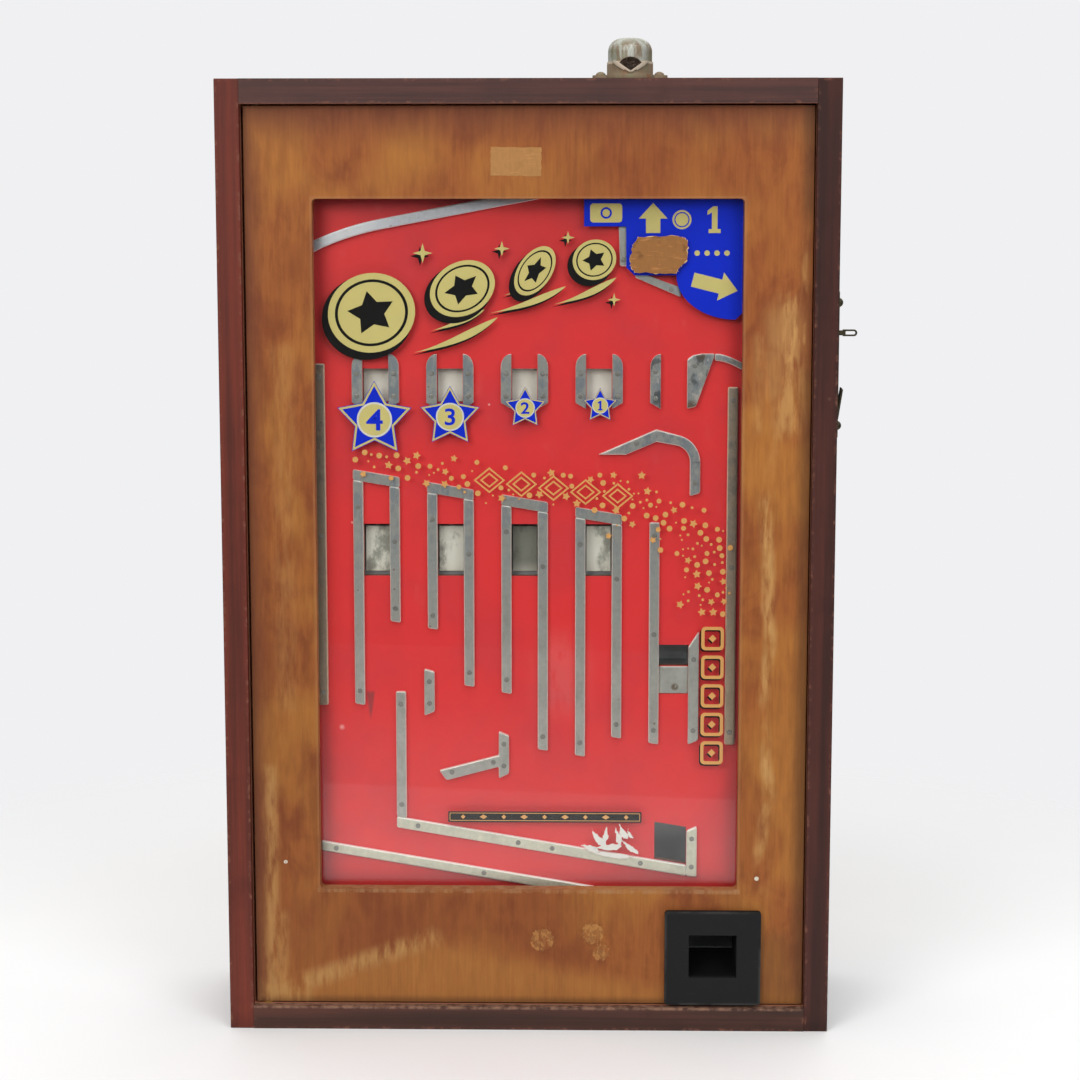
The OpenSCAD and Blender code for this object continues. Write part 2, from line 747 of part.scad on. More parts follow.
module shaft_brackets() {
    color("#7c8082") for (x = [shaft_x0 - bracket_t, shaft_x1]) difference() {
        box([x, field_back, shaft_z - 12], [x + bracket_t, shaft_y + 8, shaft_z + 12]);
        along_x(shaft_y, shaft_z, shaft_r + 0.02, x - over, x + bracket_t + over);
    }
}

module rocker_spacers() {
    ends = concat([shaft_x0], [for (i = [0 : lanes - 1]) each [lane(i) - hub_half, lane(i) + hub_half]], [shaft_x1]);
    color("#b0a070") for (i = [0 : lanes]) difference() {
        along_x(shaft_y, shaft_z, shaft_r + 2, ends[2 * i] + seat_gap, ends[2 * i + 1] - seat_gap);
        along_x(shaft_y, shaft_z, shaft_r + 0.05, ends[2 * i], ends[2 * i + 1]);
    }
}

module bonus_pocket() {
    depth = 30;
    color("#3a3a3a") difference() {
        box([bonus_left - sheet_t, field_back, bonus_sill - sheet_t],
            [bonus_right + sheet_t, field_back + depth, bonus_sill + bonus_win_h + sheet_t]);
        box([bonus_left, field_back - over, bonus_sill],
            [bonus_right, field_back + depth - sheet_t, bonus_sill + bonus_win_h]);
    }
}

// A bent duct from the payout window down to the cup's inlet
chute_x0 = payout_win_x - 2;
chute_x1 = payout_x1 + 2;
chute_x2 = cup_x - mouth_w / 2;
chute_x3 = cup_x + mouth_w / 2;
chute_y0 = cup_back + 1.5;
chute_y1 = chute_y0 + 31;
chute_top = payout_line(payout_win_x) + payout_win_h + 6;
chute_foot = inlet_z - 8;
chute_mouth = mouth_z + mouth_h;
chute_left = [[chute_x0, chute_top], [chute_x0, field_bottom - 9], [chute_x2, chute_mouth - 7.5],
    [chute_x2, chute_foot]];
chute_right = [[chute_x1, chute_top], [chute_x1, field_bottom + 5], [chute_x3, chute_mouth + 5.5],
    [chute_x3, chute_foot]];
function reversed(v) = [for (i = [len(v) - 1 : -1 : 0]) v[i]];
function shifted(v, dx) = [for (p = v) p + [dx, 0]];

module payout_chute() {
    left_wall = concat(chute_left, reversed(shifted(chute_left, -sheet_t)));
    right_wall = concat(chute_right, reversed(shifted(chute_right, sheet_t)));
    whole = concat(shifted(chute_left, -sheet_t), reversed(shifted(chute_right, sheet_t)));
    color("#8d9294") {
        for (wall = [left_wall, right_wall]) {
            upright(wall, chute_y0, chute_y1);
            intersection() {
                upright(wall, field_back, chute_y1);
                box([chute_x0 - 9, field_back, field_bottom + 1], [chute_x3 + 9, chute_y1, chute_top]);
            }
        }
        upright(whole, chute_y1, chute_y1 + sheet_t);
        intersection() {
            upright(whole, chute_y0, chute_y0 + sheet_t);
            box([chute_x0 - 9, chute_y0, chute_mouth + 4], [chute_x3 + 9, chute_y1, field_bottom + 6]);
        }
        side_on([[chute_y0, chute_foot], [chute_y1, chute_foot], [chute_y1, inlet_z + 10],
            [chute_y0, inlet_z + 0.5]], chute_x2, chute_x3);
    }
}

module cash_box() {
    wall = 2;
    low = [pivot_x + norm([pivot_in, door_t / 2]) + cash_gap, door_back + 2.5, floor_z];
    high = [chute_x0 - sheet_t - 2.5, panel_front - batten_w - cash_back,
        win_bottom - glass_lap - bead_edge - cash_room];
    color("#6f7375") difference() {
        box(low, high);
        box(low + [wall, wall, wall], high + [-wall, -wall, over]);
    }
}

// Cover plate with side walls; the flap takes the left wall's place lower down
module coin_chute() {
    left_top = hood_x - chute_half;
    right_top = hood_x + chute_half;
    left_low = flap_z + flap_hub_r + 1;
    wall = 1.2;
    cover = 1;
    color("#9da2a4") {
        upright([[left_top - wall, ceiling_z], [right_top + wall, ceiling_z],
            [right_top + chute_shift + wall, chute_low], [left_top + chute_shift - wall, chute_low]],
            rail_front, rail_front + cover);
        upright([[right_top, ceiling_z], [right_top + wall, ceiling_z], [right_top + chute_shift + wall, chute_low],
            [right_top + chute_shift, chute_low]], rail_front, field_front);
        upright([[left_top, ceiling_z], [left_top - wall, ceiling_z], [flap_x - 5 - wall, left_low],
            [flap_x - 5, left_low]], rail_front, field_front);
    }
}

module flap_pivot() {
    color("#a7abad") along_y(flap_x, flap_z, flap_pin_r, rail_front + 1, field_back);
}

// Pressed cup with a slotted floor, a lozenge flange and a raised lip round its notch
module hood_cup() {
    lip_t = 1;
    lip_w = 2.2;
    notch = [[-notch_half, rim_z + over], [-notch_low, notch_z], [notch_low, notch_z], [notch_half, rim_z + over]];
    band = concat([[-notch_half - lip_w - 1, rim_z], [-notch_low - lip_w * 0.6, notch_z - lip_w],
        [notch_low + lip_w * 0.6, notch_z - lip_w], [notch_half + lip_w + 1, rim_z]]);
    color("#b4b6b0") translate([hood_x, coin_y, 0]) difference() {
        union() {
            translate([0, 0, hood_base]) cylinder(r = hood_r + 2, h = flange_t);
            box([-hood_pitch / 2, -7.5, hood_base], [hood_pitch / 2, 7.5, hood_base + flange_t]);
            for (side = [-1, 1])
                translate([side * hood_pitch / 2, 0, hood_base]) cylinder(r = 7.5, h = flange_t);
            translate([0, 0, hood_base]) cylinder(r = hood_r, h = rim_h);
            intersection() {
                upright(band, -2 * hood_r, 0);
                translate([0, 0, hood_base]) cylinder(r = hood_r + lip_t, h = rim_h);
            }
        }
        translate([0, 0, hood_floor]) cylinder(r = hood_in, h = rim_h);
        upright(notch, -2 * hood_r, 0);
        box([-slot_w / 2, -slot_t / 2, hood_base - over], [slot_w / 2, slot_t / 2, hood_floor + over]);
        translate([rod_at - hood_x, 0, hood_base - over]) cylinder(r = rod_r + run_fit, h = hood_h);
    }
}

module hood_screws() {
    color("#8f8c80") for (side = [-1, 1])
        translate([hood_x + side * hood_pitch / 2, coin_y, hood_base + flange_t]) dome_screw(4.6, 3.4);
}

module hood_spring() {
    gap = spring_wire + seat_gap;
    color("#9ea3a6") translate([hood_x, hood_spring_y, hood_floor + gap])
        coil(hood_spring_r, spring_wire, spring_turns, cap_top - cap_wall - hood_floor - 2 * gap);
}

// Plate with a pressed-out tongue below the lever's slot
module side_plate() {
    x0 = cab_w / 2;
    x1 = x0 + plate_t;
    tongue_top = side_slot_low - 4;
    tongue_low = plate_low_screw + 6;
    color("#8b8d88") difference() {
        union() {
            box([x0, lever_y - plate_w / 2, plate_low_screw - 10], [x1, lever_y + plate_w / 2, plate_top_screw + 10]);
            upright([[x1 - 0.5, tongue_low], [x1 + 0.8, tongue_low], [x1 + 4.8, tongue_top - 2],
                [x1 + 3.4, tongue_top], [x1 - 0.5, tongue_low + 6]], lever_y - 7, lever_y + 7);
        }
        box([x0 - over, lever_y - side_slot_t / 2, side_slot_low + 1],
            [x1 + over, lever_y + side_slot_t / 2, side_slot_high - 1]);
    }
}

module plate_screws() {
    color("#7d7a70") for (z = [plate_top_screw, plate_low_screw])
        translate([cab_w / 2 + plate_t, lever_y, z]) rotate([0, 90, 0]) dome_screw(4.4, 4.4);
}

module lever_pivot() {
    head_y = lever_y - hub_d / 2 - seat_gap;
    color("#a7abad") {
        along_y(lever_x, lever_z, lever_pin_r, head_y, field_back);
        along_y(lever_x, lever_z, lever_pin_r + 2, head_y - 1.8, head_y);
    }
}

module lever_spring() {
    gap = spring_wire + seat_gap;
    color("#9ea3a6") translate([spring_x, lever_y, spring_low + gap])
        coil(2, spring_wire, spring_turns, lever_z - arm_h / 2 - spring_low - 2 * gap);
}

module spring_seat() {
    color("#8b8d88") box([spring_x - 4, lever_y - lever_t, spring_low - spring_seat_t],
        [spring_x + 4, field_front, spring_low]);
}

module lock_barrel() {
    x1 = cab_w / 2;
    color("#b0a878") difference() {
        union() {
            along_x(lock_y, lock_z, lock_r, hook_in + hook_t + seat_gap, x1 - 2.8);
            along_x(lock_y, lock_z, lock_r + 3.5, x1 - 2.8, x1);
        }
        along_x(lock_y, lock_z, 4 + run_fit, hook_in, hook_in + hook_t + 10);
        box([x1 - 2, lock_y - 0.7, lock_z - 4], [x1 + over, lock_y + 0.7, lock_z + 4]);
    }
}

module lock_nut() {
    color("#8f8c80") difference() {
        translate([side_in - 5, lock_y, lock_z]) rotate([0, 90, 0]) cylinder(r = lock_r + 5, h = 5, $fn = 6);
        along_x(lock_y, lock_z, lock_r + run_fit, side_in - 6, side_in + over);
    }
}

module door_pivots() {
    color("#a7abad") for (z = [floor_z - pivot_root, door_high - pivot_depth])
        translate([pivot_x, pivot_y, z])
            cylinder(r = pivot_r, h = pivot_root + pivot_depth + (z < cab_h / 2 ? door_gap_bottom : door_gap_top));
}

module pivot_washer() {
    color("#b08d4a") translate([pivot_x, pivot_y, floor_z]) difference() {
        cylinder(r = door_t / 2 - 0.5, h = washer_t);
        translate([0, 0, -over]) cylinder(r = pivot_r + run_fit, h = washer_t + 2 * over);
    }
}

// An upright box with round edges along Y, given by its lowest and highest corners in the XZ plane
module rounded(x0, z0, x1, z1, r, y0, y1) {
    upright(concat(arc(x1 - r, z1 - r, r, 0, 90), arc(x0 + r, z1 - r, r, 90, 180),
        arc(x0 + r, z0 + r, r, 180, 270), arc(x1 - r, z0 + r, r, 270, 360)), y0, y1);
}

cup_hole = [cup_x - mouth_w / 2 - cup_wall - seat_gap, mouth_z - cup_wall - seat_gap,
    cup_x + mouth_w / 2 + cup_wall + seat_gap, mouth_z + mouth_h + cup_wall + seat_gap];

module door_panel() {
    color("#94582f") difference() {
        upright(rect(door_left, door_low, door_right, door_high), door_front, door_back);
        rounded(-win_w / 2, win_bottom, win_w / 2, win_top, win_r, door_front - over, door_back + over);
        upright(rect(cup_hole[0], cup_hole[1], cup_hole[2], cup_hole[3]), door_front - over, door_back + over);
        for (z = [door_low - over, door_high - pivot_depth - seat_gap])
            translate([pivot_x, pivot_y, z]) cylinder(r = pivot_r + run_fit, h = pivot_depth + seat_gap + over);
    }
}

glass_half = win_w / 2 + glass_lap;
glass_low = win_bottom - glass_lap;
glass_high = win_top + glass_lap;

module window_glass() {
    color("#cfe0e0", 0.25) upright(rect(-glass_half + seat_gap, glass_low + seat_gap, glass_half - seat_gap,
        glass_high - seat_gap), door_back, glass_back);
}

// Rebated frame that holds the glass to the door's back
module glass_beads() {
    lip = glass_half - bead_cover;
    edge = glass_half + bead_edge;
    color("#6b4128") {
        for (side = [-1, 1]) {
            upright(rect(min(side * glass_half, side * edge), glass_low, max(side * glass_half, side * edge),
                glass_high), door_back, bead_back);
            upright(rect(min(side * lip, side * glass_half), glass_low + bead_cover,
                max(side * lip, side * glass_half), glass_high - bead_cover), glass_back, bead_back);
        }
        for (span = [[glass_low - bead_edge, glass_low, glass_low + bead_cover],
                [glass_high + bead_edge, glass_high, glass_high - bead_cover]]) {
            upright(rect(-edge, min(span[0], span[1]), edge, max(span[0], span[1])), door_back, bead_back);
            upright(rect(-glass_half, min(span[1], span[2]), glass_half, max(span[1], span[2])),
                glass_back, bead_back);
        }
    }
}

// Square bezel with a box behind it; the floor rises to the rear wall, which has the coin inlet
module payout_cup() {
    x0 = cup_x - mouth_w / 2;
    x1 = cup_x + mouth_w / 2;
    top = mouth_z + mouth_h;
    face_y = door_front - cup_proud;
    color("#2a2a2b") difference() {
        union() {
            rounded(cup_x - cup_face / 2, cup_low, cup_x + cup_face / 2, cup_low + cup_face, 3, face_y, door_front);
            box([x0 - cup_wall, door_front - over, mouth_z - cup_wall], [x1 + cup_wall, cup_back, top + cup_wall]);
        }
        difference() {
            box([x0, face_y - over, mouth_z], [x1, cup_back - cup_wall, top]);
            side_on([[door_back - 2, mouth_z - over], [door_back - 2, mouth_z], [cup_back, inlet_z - 1],
                [cup_back, mouth_z - over]], x0 - over, x1 + over);
        }
        box([x0 + 1, cup_back - cup_wall - over, inlet_z], [x1 - 1, cup_back + over, inlet_z + inlet_h]);
    }
}

// Bracket on the door's back with the pin that the lock's hook takes
module door_strike() {
    x0 = hook_in - 12;
    color("#8b8d88") {
        box([x0 - 6, door_back, lock_z - 14], [x0 + 6, door_back + 2, lock_z + 14]);
        box([x0 - 1.25, door_back, lock_z - 6], [x0 + 1.25, strike_y + 4, lock_z + 6]);
        along_x(strike_y, lock_z, strike_r, x0, hook_in + hook_t + 3);
    }
}

// Bell crank: a finger loop outside, a hub on the pivot and a hammer that hangs behind the coin
module flick_lever() {
    y0 = lever_y - lever_t / 2;
    y1 = lever_y + lever_t / 2;
    eye = lever_tip - loop_r;
    hammer_x = lever_x - 9;
    color("#7d7f7c") difference() {
        union() {
            along_y(lever_x, lever_z, hub_r, lever_y - hub_d / 2, lever_y + hub_d / 2);
            box([lever_x, y0, lever_z - arm_h / 2], [eye - loop_len, y1, lever_z + arm_h / 2]);
            box([eye - loop_len - 1, y0, lever_z - loop_r], [eye, y1, lever_z + loop_r]);
            along_y(eye, lever_z, loop_r, y0, y1);
            upright([[lever_x + 4, lever_z], [lever_x - 4, lever_z], [hammer_x, lever_z - hammer_len + 6],
                [hammer_x, lever_z - hammer_len], [hammer_x + 5, lever_z - hammer_len]], y0, y1);
        }
        along_y(lever_x, lever_z, lever_pin_r + run_fit, lever_y - hub_d, lever_y + hub_d);
        box([eye - loop_len + 1.5, y0 - over, lever_z - loop_hole_r], [eye, y1 + over, lever_z + loop_hole_r]);
        along_y(eye, lever_z, loop_hole_r, y0 - over, y1 + over);
    }
}

// Hollow dome that slides in the hood's cup, arched over the mouth, with a boss over the push rod
module hood_cap() {
    crown = arc(cap_r - cap_round, cap_top - cap_round, cap_round, 0, 90, 10);
    inner_r = cap_r - cap_wall;
    profile = concat([[inner_r, cap_skirt], [cap_r, cap_skirt]], crown, [[0, cap_top], [0, cap_top - cap_wall]],
        arc(cap_r - cap_round, cap_top - cap_round, cap_round - cap_wall, 90, 0, 10));
    color("#b4b6b0") translate([hood_x, coin_y, 0]) difference() {
        union() {
            rotate_extrude() polygon(profile);
            intersection() {
                rotate_extrude() polygon(concat([[0, cap_skirt], [cap_r, cap_skirt]], crown, [[0, cap_top]]));
                translate([rod_at - hood_x, 0, rod_high]) cylinder(r = boss_r, h = cap_round);
            }
        }
        along_y(0, arch_z, arch_r, -2 * hood_r, 0);
    }
}

module push_rod() {
    color("#a7abad") translate([rod_at, coin_y, rod_low]) cylinder(r = rod_r, h = rod_high - rod_low);
}

// Blade that hangs in the chute, with a crank under the push rod
module reject_flap() {
    y0 = coin_y - flap_t / 2;
    y1 = coin_y + flap_t / 2;
    reach = flap_x - rod_at + 3;
    color("#9da2a4") difference() {
        union() {
            along_y(flap_x, flap_z, flap_hub_r, y0, y1);
            upright(rect(flap_x - reach, flap_z, flap_x, flap_z + crank_top), y0, y1);
            upright([[flap_x - 3, flap_z], [flap_x + 1, flap_z], [flap_x + 1, flap_z - flap_len],
                [flap_x - 1, flap_z - flap_len]], y0, y1);
        }
        along_y(flap_x, flap_z, flap_pin_r + run_fit, y0 - over, y1 + over);
    }
}

// Paddle behind a win window and gate behind a coin window, joined by a web on the shaft
module win_rocker(i) {
    web = 2.5;
    neck = gate_high - 3;
    back = gate_front + gate_t;
    paddle_low = win_cut_z - 3;
    paddle_high = win_cut_z + win_cut_h + 3;
    color("#c8c6b2") translate([lane(i), 0, 0]) difference() {
        union() {
            along_x(shaft_y, shaft_z, rocker_hub_r, -hub_half, hub_half);
            box([-half_lane - 0.5, gate_front, paddle_low], [half_lane + 0.5, back, paddle_high]);
            box([-gate_half, gate_front, gate_low], [gate_half, back, gate_high]);
            side_on([[back - 0.3, paddle_low + 6], [back - 0.3, paddle_high - 8], [back + 3, paddle_high - 8],
                [shaft_y + 4, shaft_z + 3], [shaft_y - 4, shaft_z - 1]], -web, web);
            side_on([[back - 0.3, neck - 9], [back - 0.3, neck - 1], [back + 5, neck + 7],
                [shaft_y - 4, shaft_z + 1], [shaft_y + 4, shaft_z - 3], [back + 11, neck],
                [back + 3, neck - 9]], -web, web);
        }
        along_x(shaft_y, shaft_z, shaft_r + run_fit, -hub_half - over, hub_half + over);
    }
}

module win_rocker_1() {
    win_rocker(0);
}

module win_rocker_2() {
    win_rocker(1);
}

module win_rocker_3() {
    win_rocker(2);
}

module win_rocker_4() {
    win_rocker(3);
}

// Hook plate on the lock's spindle: its curved slot swallows the pin on the door
module lock_hook() {
    slot_half = strike_r + 0.6;
    a0 = 237.5;
    a1 = 302.5;
    color("#8b8d88") {
        along_x(lock_y, lock_z, 4, hook_in, hook_in + hook_t + 9);
        side_on(concat(arc(lock_y, lock_z, hook_r + slot_half + 3.5, a0, a1),
            arc(lock_y, lock_z, 7, a1, a0 + 360 - 20, 16), arc(lock_y, lock_z, hook_r - slot_half, a0, a1 - 12),
            arc(lock_y, lock_z, hook_r + slot_half, a1 - 12, a0)), hook_in, hook_in + hook_t);
    }
}

left_side();
right_side();
top_board();
bottom_board();
back_panel();
back_battens();
back_screws();
field_ledgers();
field_screws();
playfield();
side_rails();
top_arch_rail();
win_cup_rails();
launch_wedge();
launch_track();
entry_rails();
roof_deflector();
column_roofs();
column_rails();
bonus_plate();
guide_rails();
payout_rail();
payout_stop();
cash_rail();
rail_screws();
coin_hoppers();
rocker_shaft();
shaft_brackets();
rocker_spacers();
bonus_pocket();
payout_chute();
cash_box();
coin_chute();
flap_pivot();
hood_cup();
hood_screws();
hood_spring();
side_plate();
plate_screws();
lever_pivot();
lever_spring();
spring_seat();
lock_barrel();
lock_nut();
door_pivots();
pivot_washer();
door_panel();
window_glass();
glass_beads();
payout_cup();
door_strike();
flick_lever();
hood_cap();
push_rod();
reject_flap();
win_rocker_1();
win_rocker_2();
win_rocker_3();
win_rocker_4();
lock_hook();
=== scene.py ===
"""Looks of a wall-hung penny arcade machine, dressed around its packed CAD frame."""
import math
import random

import bmesh
import bpy
from bpy.props import FloatProperty, FloatVectorProperty, IntProperty, PointerProperty
from mathutils import Matrix, Vector


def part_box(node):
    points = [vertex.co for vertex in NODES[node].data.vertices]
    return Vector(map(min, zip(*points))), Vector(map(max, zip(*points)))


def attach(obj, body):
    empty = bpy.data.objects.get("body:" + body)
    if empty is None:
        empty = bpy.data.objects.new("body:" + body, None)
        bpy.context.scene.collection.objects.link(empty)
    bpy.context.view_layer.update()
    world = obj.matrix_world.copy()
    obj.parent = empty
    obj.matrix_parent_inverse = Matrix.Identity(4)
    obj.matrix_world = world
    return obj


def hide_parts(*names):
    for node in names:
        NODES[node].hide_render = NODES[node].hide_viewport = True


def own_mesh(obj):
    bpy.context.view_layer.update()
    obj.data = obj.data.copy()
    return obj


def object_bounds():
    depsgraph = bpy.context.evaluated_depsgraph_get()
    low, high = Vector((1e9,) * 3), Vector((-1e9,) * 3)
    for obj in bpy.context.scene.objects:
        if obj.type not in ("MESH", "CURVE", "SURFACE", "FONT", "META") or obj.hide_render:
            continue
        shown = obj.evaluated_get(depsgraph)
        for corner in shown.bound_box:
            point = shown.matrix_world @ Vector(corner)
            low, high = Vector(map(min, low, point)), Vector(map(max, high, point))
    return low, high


bl_info = {
    "name": "Penny arcade machine",
    "version": (1, 0, 0),
    "blender": (4, 5, 0),
    "location": "3D View > Sidebar > Arcade",
    "description": "Finishes, glass prints and studio of a penny arcade machine",
    "category": "Object",
}

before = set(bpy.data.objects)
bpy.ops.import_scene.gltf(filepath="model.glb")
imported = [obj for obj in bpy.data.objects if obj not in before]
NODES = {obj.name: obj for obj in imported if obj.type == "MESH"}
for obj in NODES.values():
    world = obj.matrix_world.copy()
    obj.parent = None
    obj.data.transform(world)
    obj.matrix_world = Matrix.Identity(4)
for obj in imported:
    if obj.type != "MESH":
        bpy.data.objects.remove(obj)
CAD_LOW, CAD_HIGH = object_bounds()
MM = 0.001
SEAM, FINE_SEAM = 0.01 * MM, 0.002 * MM
BOARD_EDGE, BATTEN_EDGE, DOOR_EDGE, STRIP_EDGE, PLATE_EDGE = 1.0, 0.6, 0.9, 1.4, 0.4

DOOR_LOW, DOOR_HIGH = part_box("door_panel")
GLASS_LOW, GLASS_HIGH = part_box("window_glass")
FIELD_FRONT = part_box("playfield")[0].y

BOARDS = ("left_side", "right_side", "top_board", "bottom_board")
BARE_WOOD = ("back_panel", "back_battens", "field_ledgers")
RAILS = (
    "side_rails", "top_arch_rail", "win_cup_rails", "launch_wedge", "launch_track", "entry_rails",
    "roof_deflector", "column_roofs", "column_rails", "bonus_plate", "guide_rails", "payout_rail",
    "payout_stop", "cash_rail",
)
# Lower strips, painted paler as a painted reflection of the pale floor.
FLOOR_REFLECTION_RAILS = ("payout_rail", "payout_stop", "cash_rail")
HOOD = ("hood_cup", "hood_cap", "hood_screws")
BRASS = ("lock_barrel", "pivot_washer", "rocker_spacers")
ROCKERS = ("win_rocker_1", "win_rocker_2", "win_rocker_3", "win_rocker_4")
DRESSED = (*BOARDS, *BARE_WOOD, *RAILS, *HOOD, *BRASS, *ROCKERS,
           "door_panel", "glass_beads", "window_glass", "playfield", "payout_cup", "rail_screws")
OLD_STEEL = ("flick_lever", "side_plate", "plate_screws", "door_pivots")
STEEL = tuple(name for name in NODES if name not in (*DRESSED, *OLD_STEEL))


def linear(red, green, blue):
    """A screen colour of 0 to 255 as linear light."""
    shares = (channel / 255 for channel in (red, green, blue))
    return tuple(s / 12.92 if s <= 0.04045 else ((s + 0.055) / 1.055) ** 2.4 for s in shares)


def times(base, share):
    """A colour times a number, or times one for each channel, and at most white."""
    shares = share if isinstance(share, tuple) else (share, share, share)
    return tuple(min(c * s, 1.0) for c, s in zip(base, shares))


def colour(name, description, red, green, blue):
    """A colour property with a screen colour as its default."""
    return FloatVectorProperty(
        name=name, description=description, subtype="COLOR", size=3, min=0.0, max=1.0,
        default=linear(red, green, blue))


def length(name, description, millimetres):
    """A length property with its default in millimetres."""
    return FloatProperty(
        name=name, description=description, subtype="DISTANCE", unit="LENGTH", default=millimetres * MM)


def power(name, watts):
    """A lamp's power property."""
    return FloatProperty(name=name, description="Power of the " + name.lower(), unit="POWER", default=watts)


class WoodLook(bpy.types.PropertyGroup):
    """Colours of the boards and the door."""

    stain: colour("Stain", "Dark stain of the cabinet boards", 78, 48, 42)
    stain_red: colour("Red stain", "Stain where it shows red along the grain", 108, 60, 50)
    rubbed: colour("Rubbed stain", "Stain rubbed thin along the edges", 124, 80, 64)
    oak: colour("Oak", "Varnished oak of the door", 156, 91, 43)
    oak_deep: colour("Deep oak", "Oak where the varnish is thick", 134, 71, 36)
    oak_ochre: colour("Ochre oak", "Oak where the varnish is thin", 174, 113, 51)
    oak_pale: colour("Pale oak", "Oak where the varnish is worn", 190, 142, 84)
    # Serves both old dirt and painted shade along the door's rim.
    oak_rim: colour("Rim of the door", "Old dirt along the door's rim", 84, 54, 32)
    bare: colour("Bare wood", "Plywood and softwood at the back", 176, 138, 92)


class MetalLook(bpy.types.PropertyGroup):
    """Colours and sizes of the metal pieces."""

    strip: colour("Strip", "Dull aluminium of the playfield strips", 184, 183, 176)
    steel: colour("Steel", "Plated steel of the mechanism", 168, 170, 172)
    old_steel: colour("Old steel", "Bronzed steel of the lever and its plate", 84, 78, 62)
    nickel: colour("Nickel", "Worn nickel plate of the coin hood", 180, 182, 172)
    tarnish: colour("Tarnish", "Brown tarnish on the coin hood", 118, 94, 64)
    brass: colour("Brass", "Dull brass of the lock and spacers", 186, 152, 84)
    slot_width: length("Screw slot", "Width of the slot in a strip screw", 0.7)


class PaintLook(bpy.types.PropertyGroup):
    """Colours of the painted and moulded pieces."""

    field: colour("Field red", "Gloss paint of the playfield", 222, 44, 46)
    field_dull: colour("Dull red", "Rubbed paint of the playfield", 204, 42, 50)
    paddle: colour("Paddle cream", "Cream paint of the paddles", 252, 248, 234)
    gate: colour("Gate grey", "Bare metal of the gates", 232, 232, 218)
    moulding: colour("Moulding black", "Black moulding of the payout cup", 24, 24, 25)


class PrintLook(bpy.types.PropertyGroup):
    """Inks and layers of the prints on the back of the glass."""

    blue: colour("Blue ink", "Blue of the stars and the corner panel", 0, 40, 200)
    cream: colour("Cream ink", "Cream of the coins, discs and arrows", 206, 192, 122)
    gold: colour("Gold ink", "Gold of the trail and the outlined marks", 219, 162, 96)
    white: colour("White ink", "Off-white of the discs' rims", 214, 212, 202)
    black: colour("Black ink", "Black of the shadows and the bar", 9, 8, 8)
    flake: colour("Flaked paint", "Off-white paint that flakes off the glass", 222, 218, 212)
    layer: length("Ink layer", "Thickness of one layer of ink", 0.06)
    paper: colour("Paper", "Strip of paper tape on the door", 172, 124, 74)
    scrap: colour("Brown paper", "Scrap of brown paper on the glass", 150, 103, 59)
    seed: IntProperty(name="Seed", description="Seed of the trail and of torn edges", default=7, min=0)


class StageLook(bpy.types.PropertyGroup):
    """Camera, lights and floor."""

    camera_place: FloatVectorProperty(
        name="Camera place", description="Where the camera stands", subtype="TRANSLATION", unit="LENGTH",
        size=3, default=(0.0465, -2.0757, 0.7163))
    camera_turn: FloatVectorProperty(
        name="Camera turn", description="How the camera is turned", subtype="EULER", unit="ROTATION",
        size=3, default=(math.radians(82.732), 0.0, math.radians(1.022)))
    lens: FloatProperty(
        name="Lens", description="Focal length on a 36 mm sensor", subtype="DISTANCE_CAMERA",
        unit="CAMERA", default=73.33)
    floor_front: length("Floor front", "Distance of the floor's front edge before the machine", 882.0)
    floor_slant: FloatProperty(
        name="Floor slant", description="Slope of the floor's front edge", default=0.15)
    top_power: power("Top light", 13.0)
    key_power: power("Key light", 33.0)
    fill_power: power("Fill light", 22.0)
    back_power: power("Back light", 10.0)


def look_of(kind):
    """The scene's settings for one kind of piece."""
    return getattr(bpy.context.scene, kind + "_look")


class Tone:
    """A node's output socket. Arithmetic on it adds Math nodes to its finish."""

    def __init__(self, finish, socket):
        self.finish = finish
        self.socket = socket

    def math(self, operation, first, second=0.0):
        return self.finish.node("Math", {"operation": operation}, {0: first, 1: second})

    def __add__(self, other):
        return self.math("ADD", self, other)

    __radd__ = __add__

    def __sub__(self, other):
        return self.math("SUBTRACT", self, other)

    def __rsub__(self, other):
        return self.math("SUBTRACT", other, self)

    def __mul__(self, other):
        return self.math("MULTIPLY", self, other)

    __rmul__ = __mul__

    def __pow__(self, other):
        return self.math("POWER", self, other)

    def least(self, other):
        return self.math("MINIMUM", self, other)

    def most(self, *others):
        largest = self
        for other in others:
            largest = self.math("MAXIMUM", largest, other)
        return largest

    def size(self):
        return self.math("ABSOLUTE", self)

    def between(self, low, high):
        """Goes smoothly from 0 at low to 1 at high, whichever of the two is larger."""
        return self.finish.node(
            "MapRange", {"interpolation_type": "SMOOTHSTEP"},
            {"Value": self, "From Min": low, "From Max": high})

    def output(self, name):
        """Another output of the same node."""
        return Tone(self.finish, self.socket.node.outputs[name])


def rgba(value):
    """A colour as a socket takes it."""
    return value if isinstance(value, Tone) or len(value) == 4 else (*value, 1.0)


class Nodes:
    """A node tree that is filled by expressions."""

    def __init__(self, tree):
        self.tree = tree
        self.tree.nodes.clear()

    def node(self, kind, settings=None, inputs=None, out=0):
        """Adds a node, makes its settings, fills its sockets, and gives one of its outputs."""
        made = self.tree.nodes.new("ShaderNode" + kind)
        for key, value in (settings or {}).items():
            setattr(made, key, value)
        for key, value in (inputs or {}).items():
            if isinstance(value, Tone):
                self.tree.links.new(value.socket, made.inputs[key])
            else:
                made.inputs[key].default_value = value
        return Tone(self, made.outputs[out]) if made.outputs else None


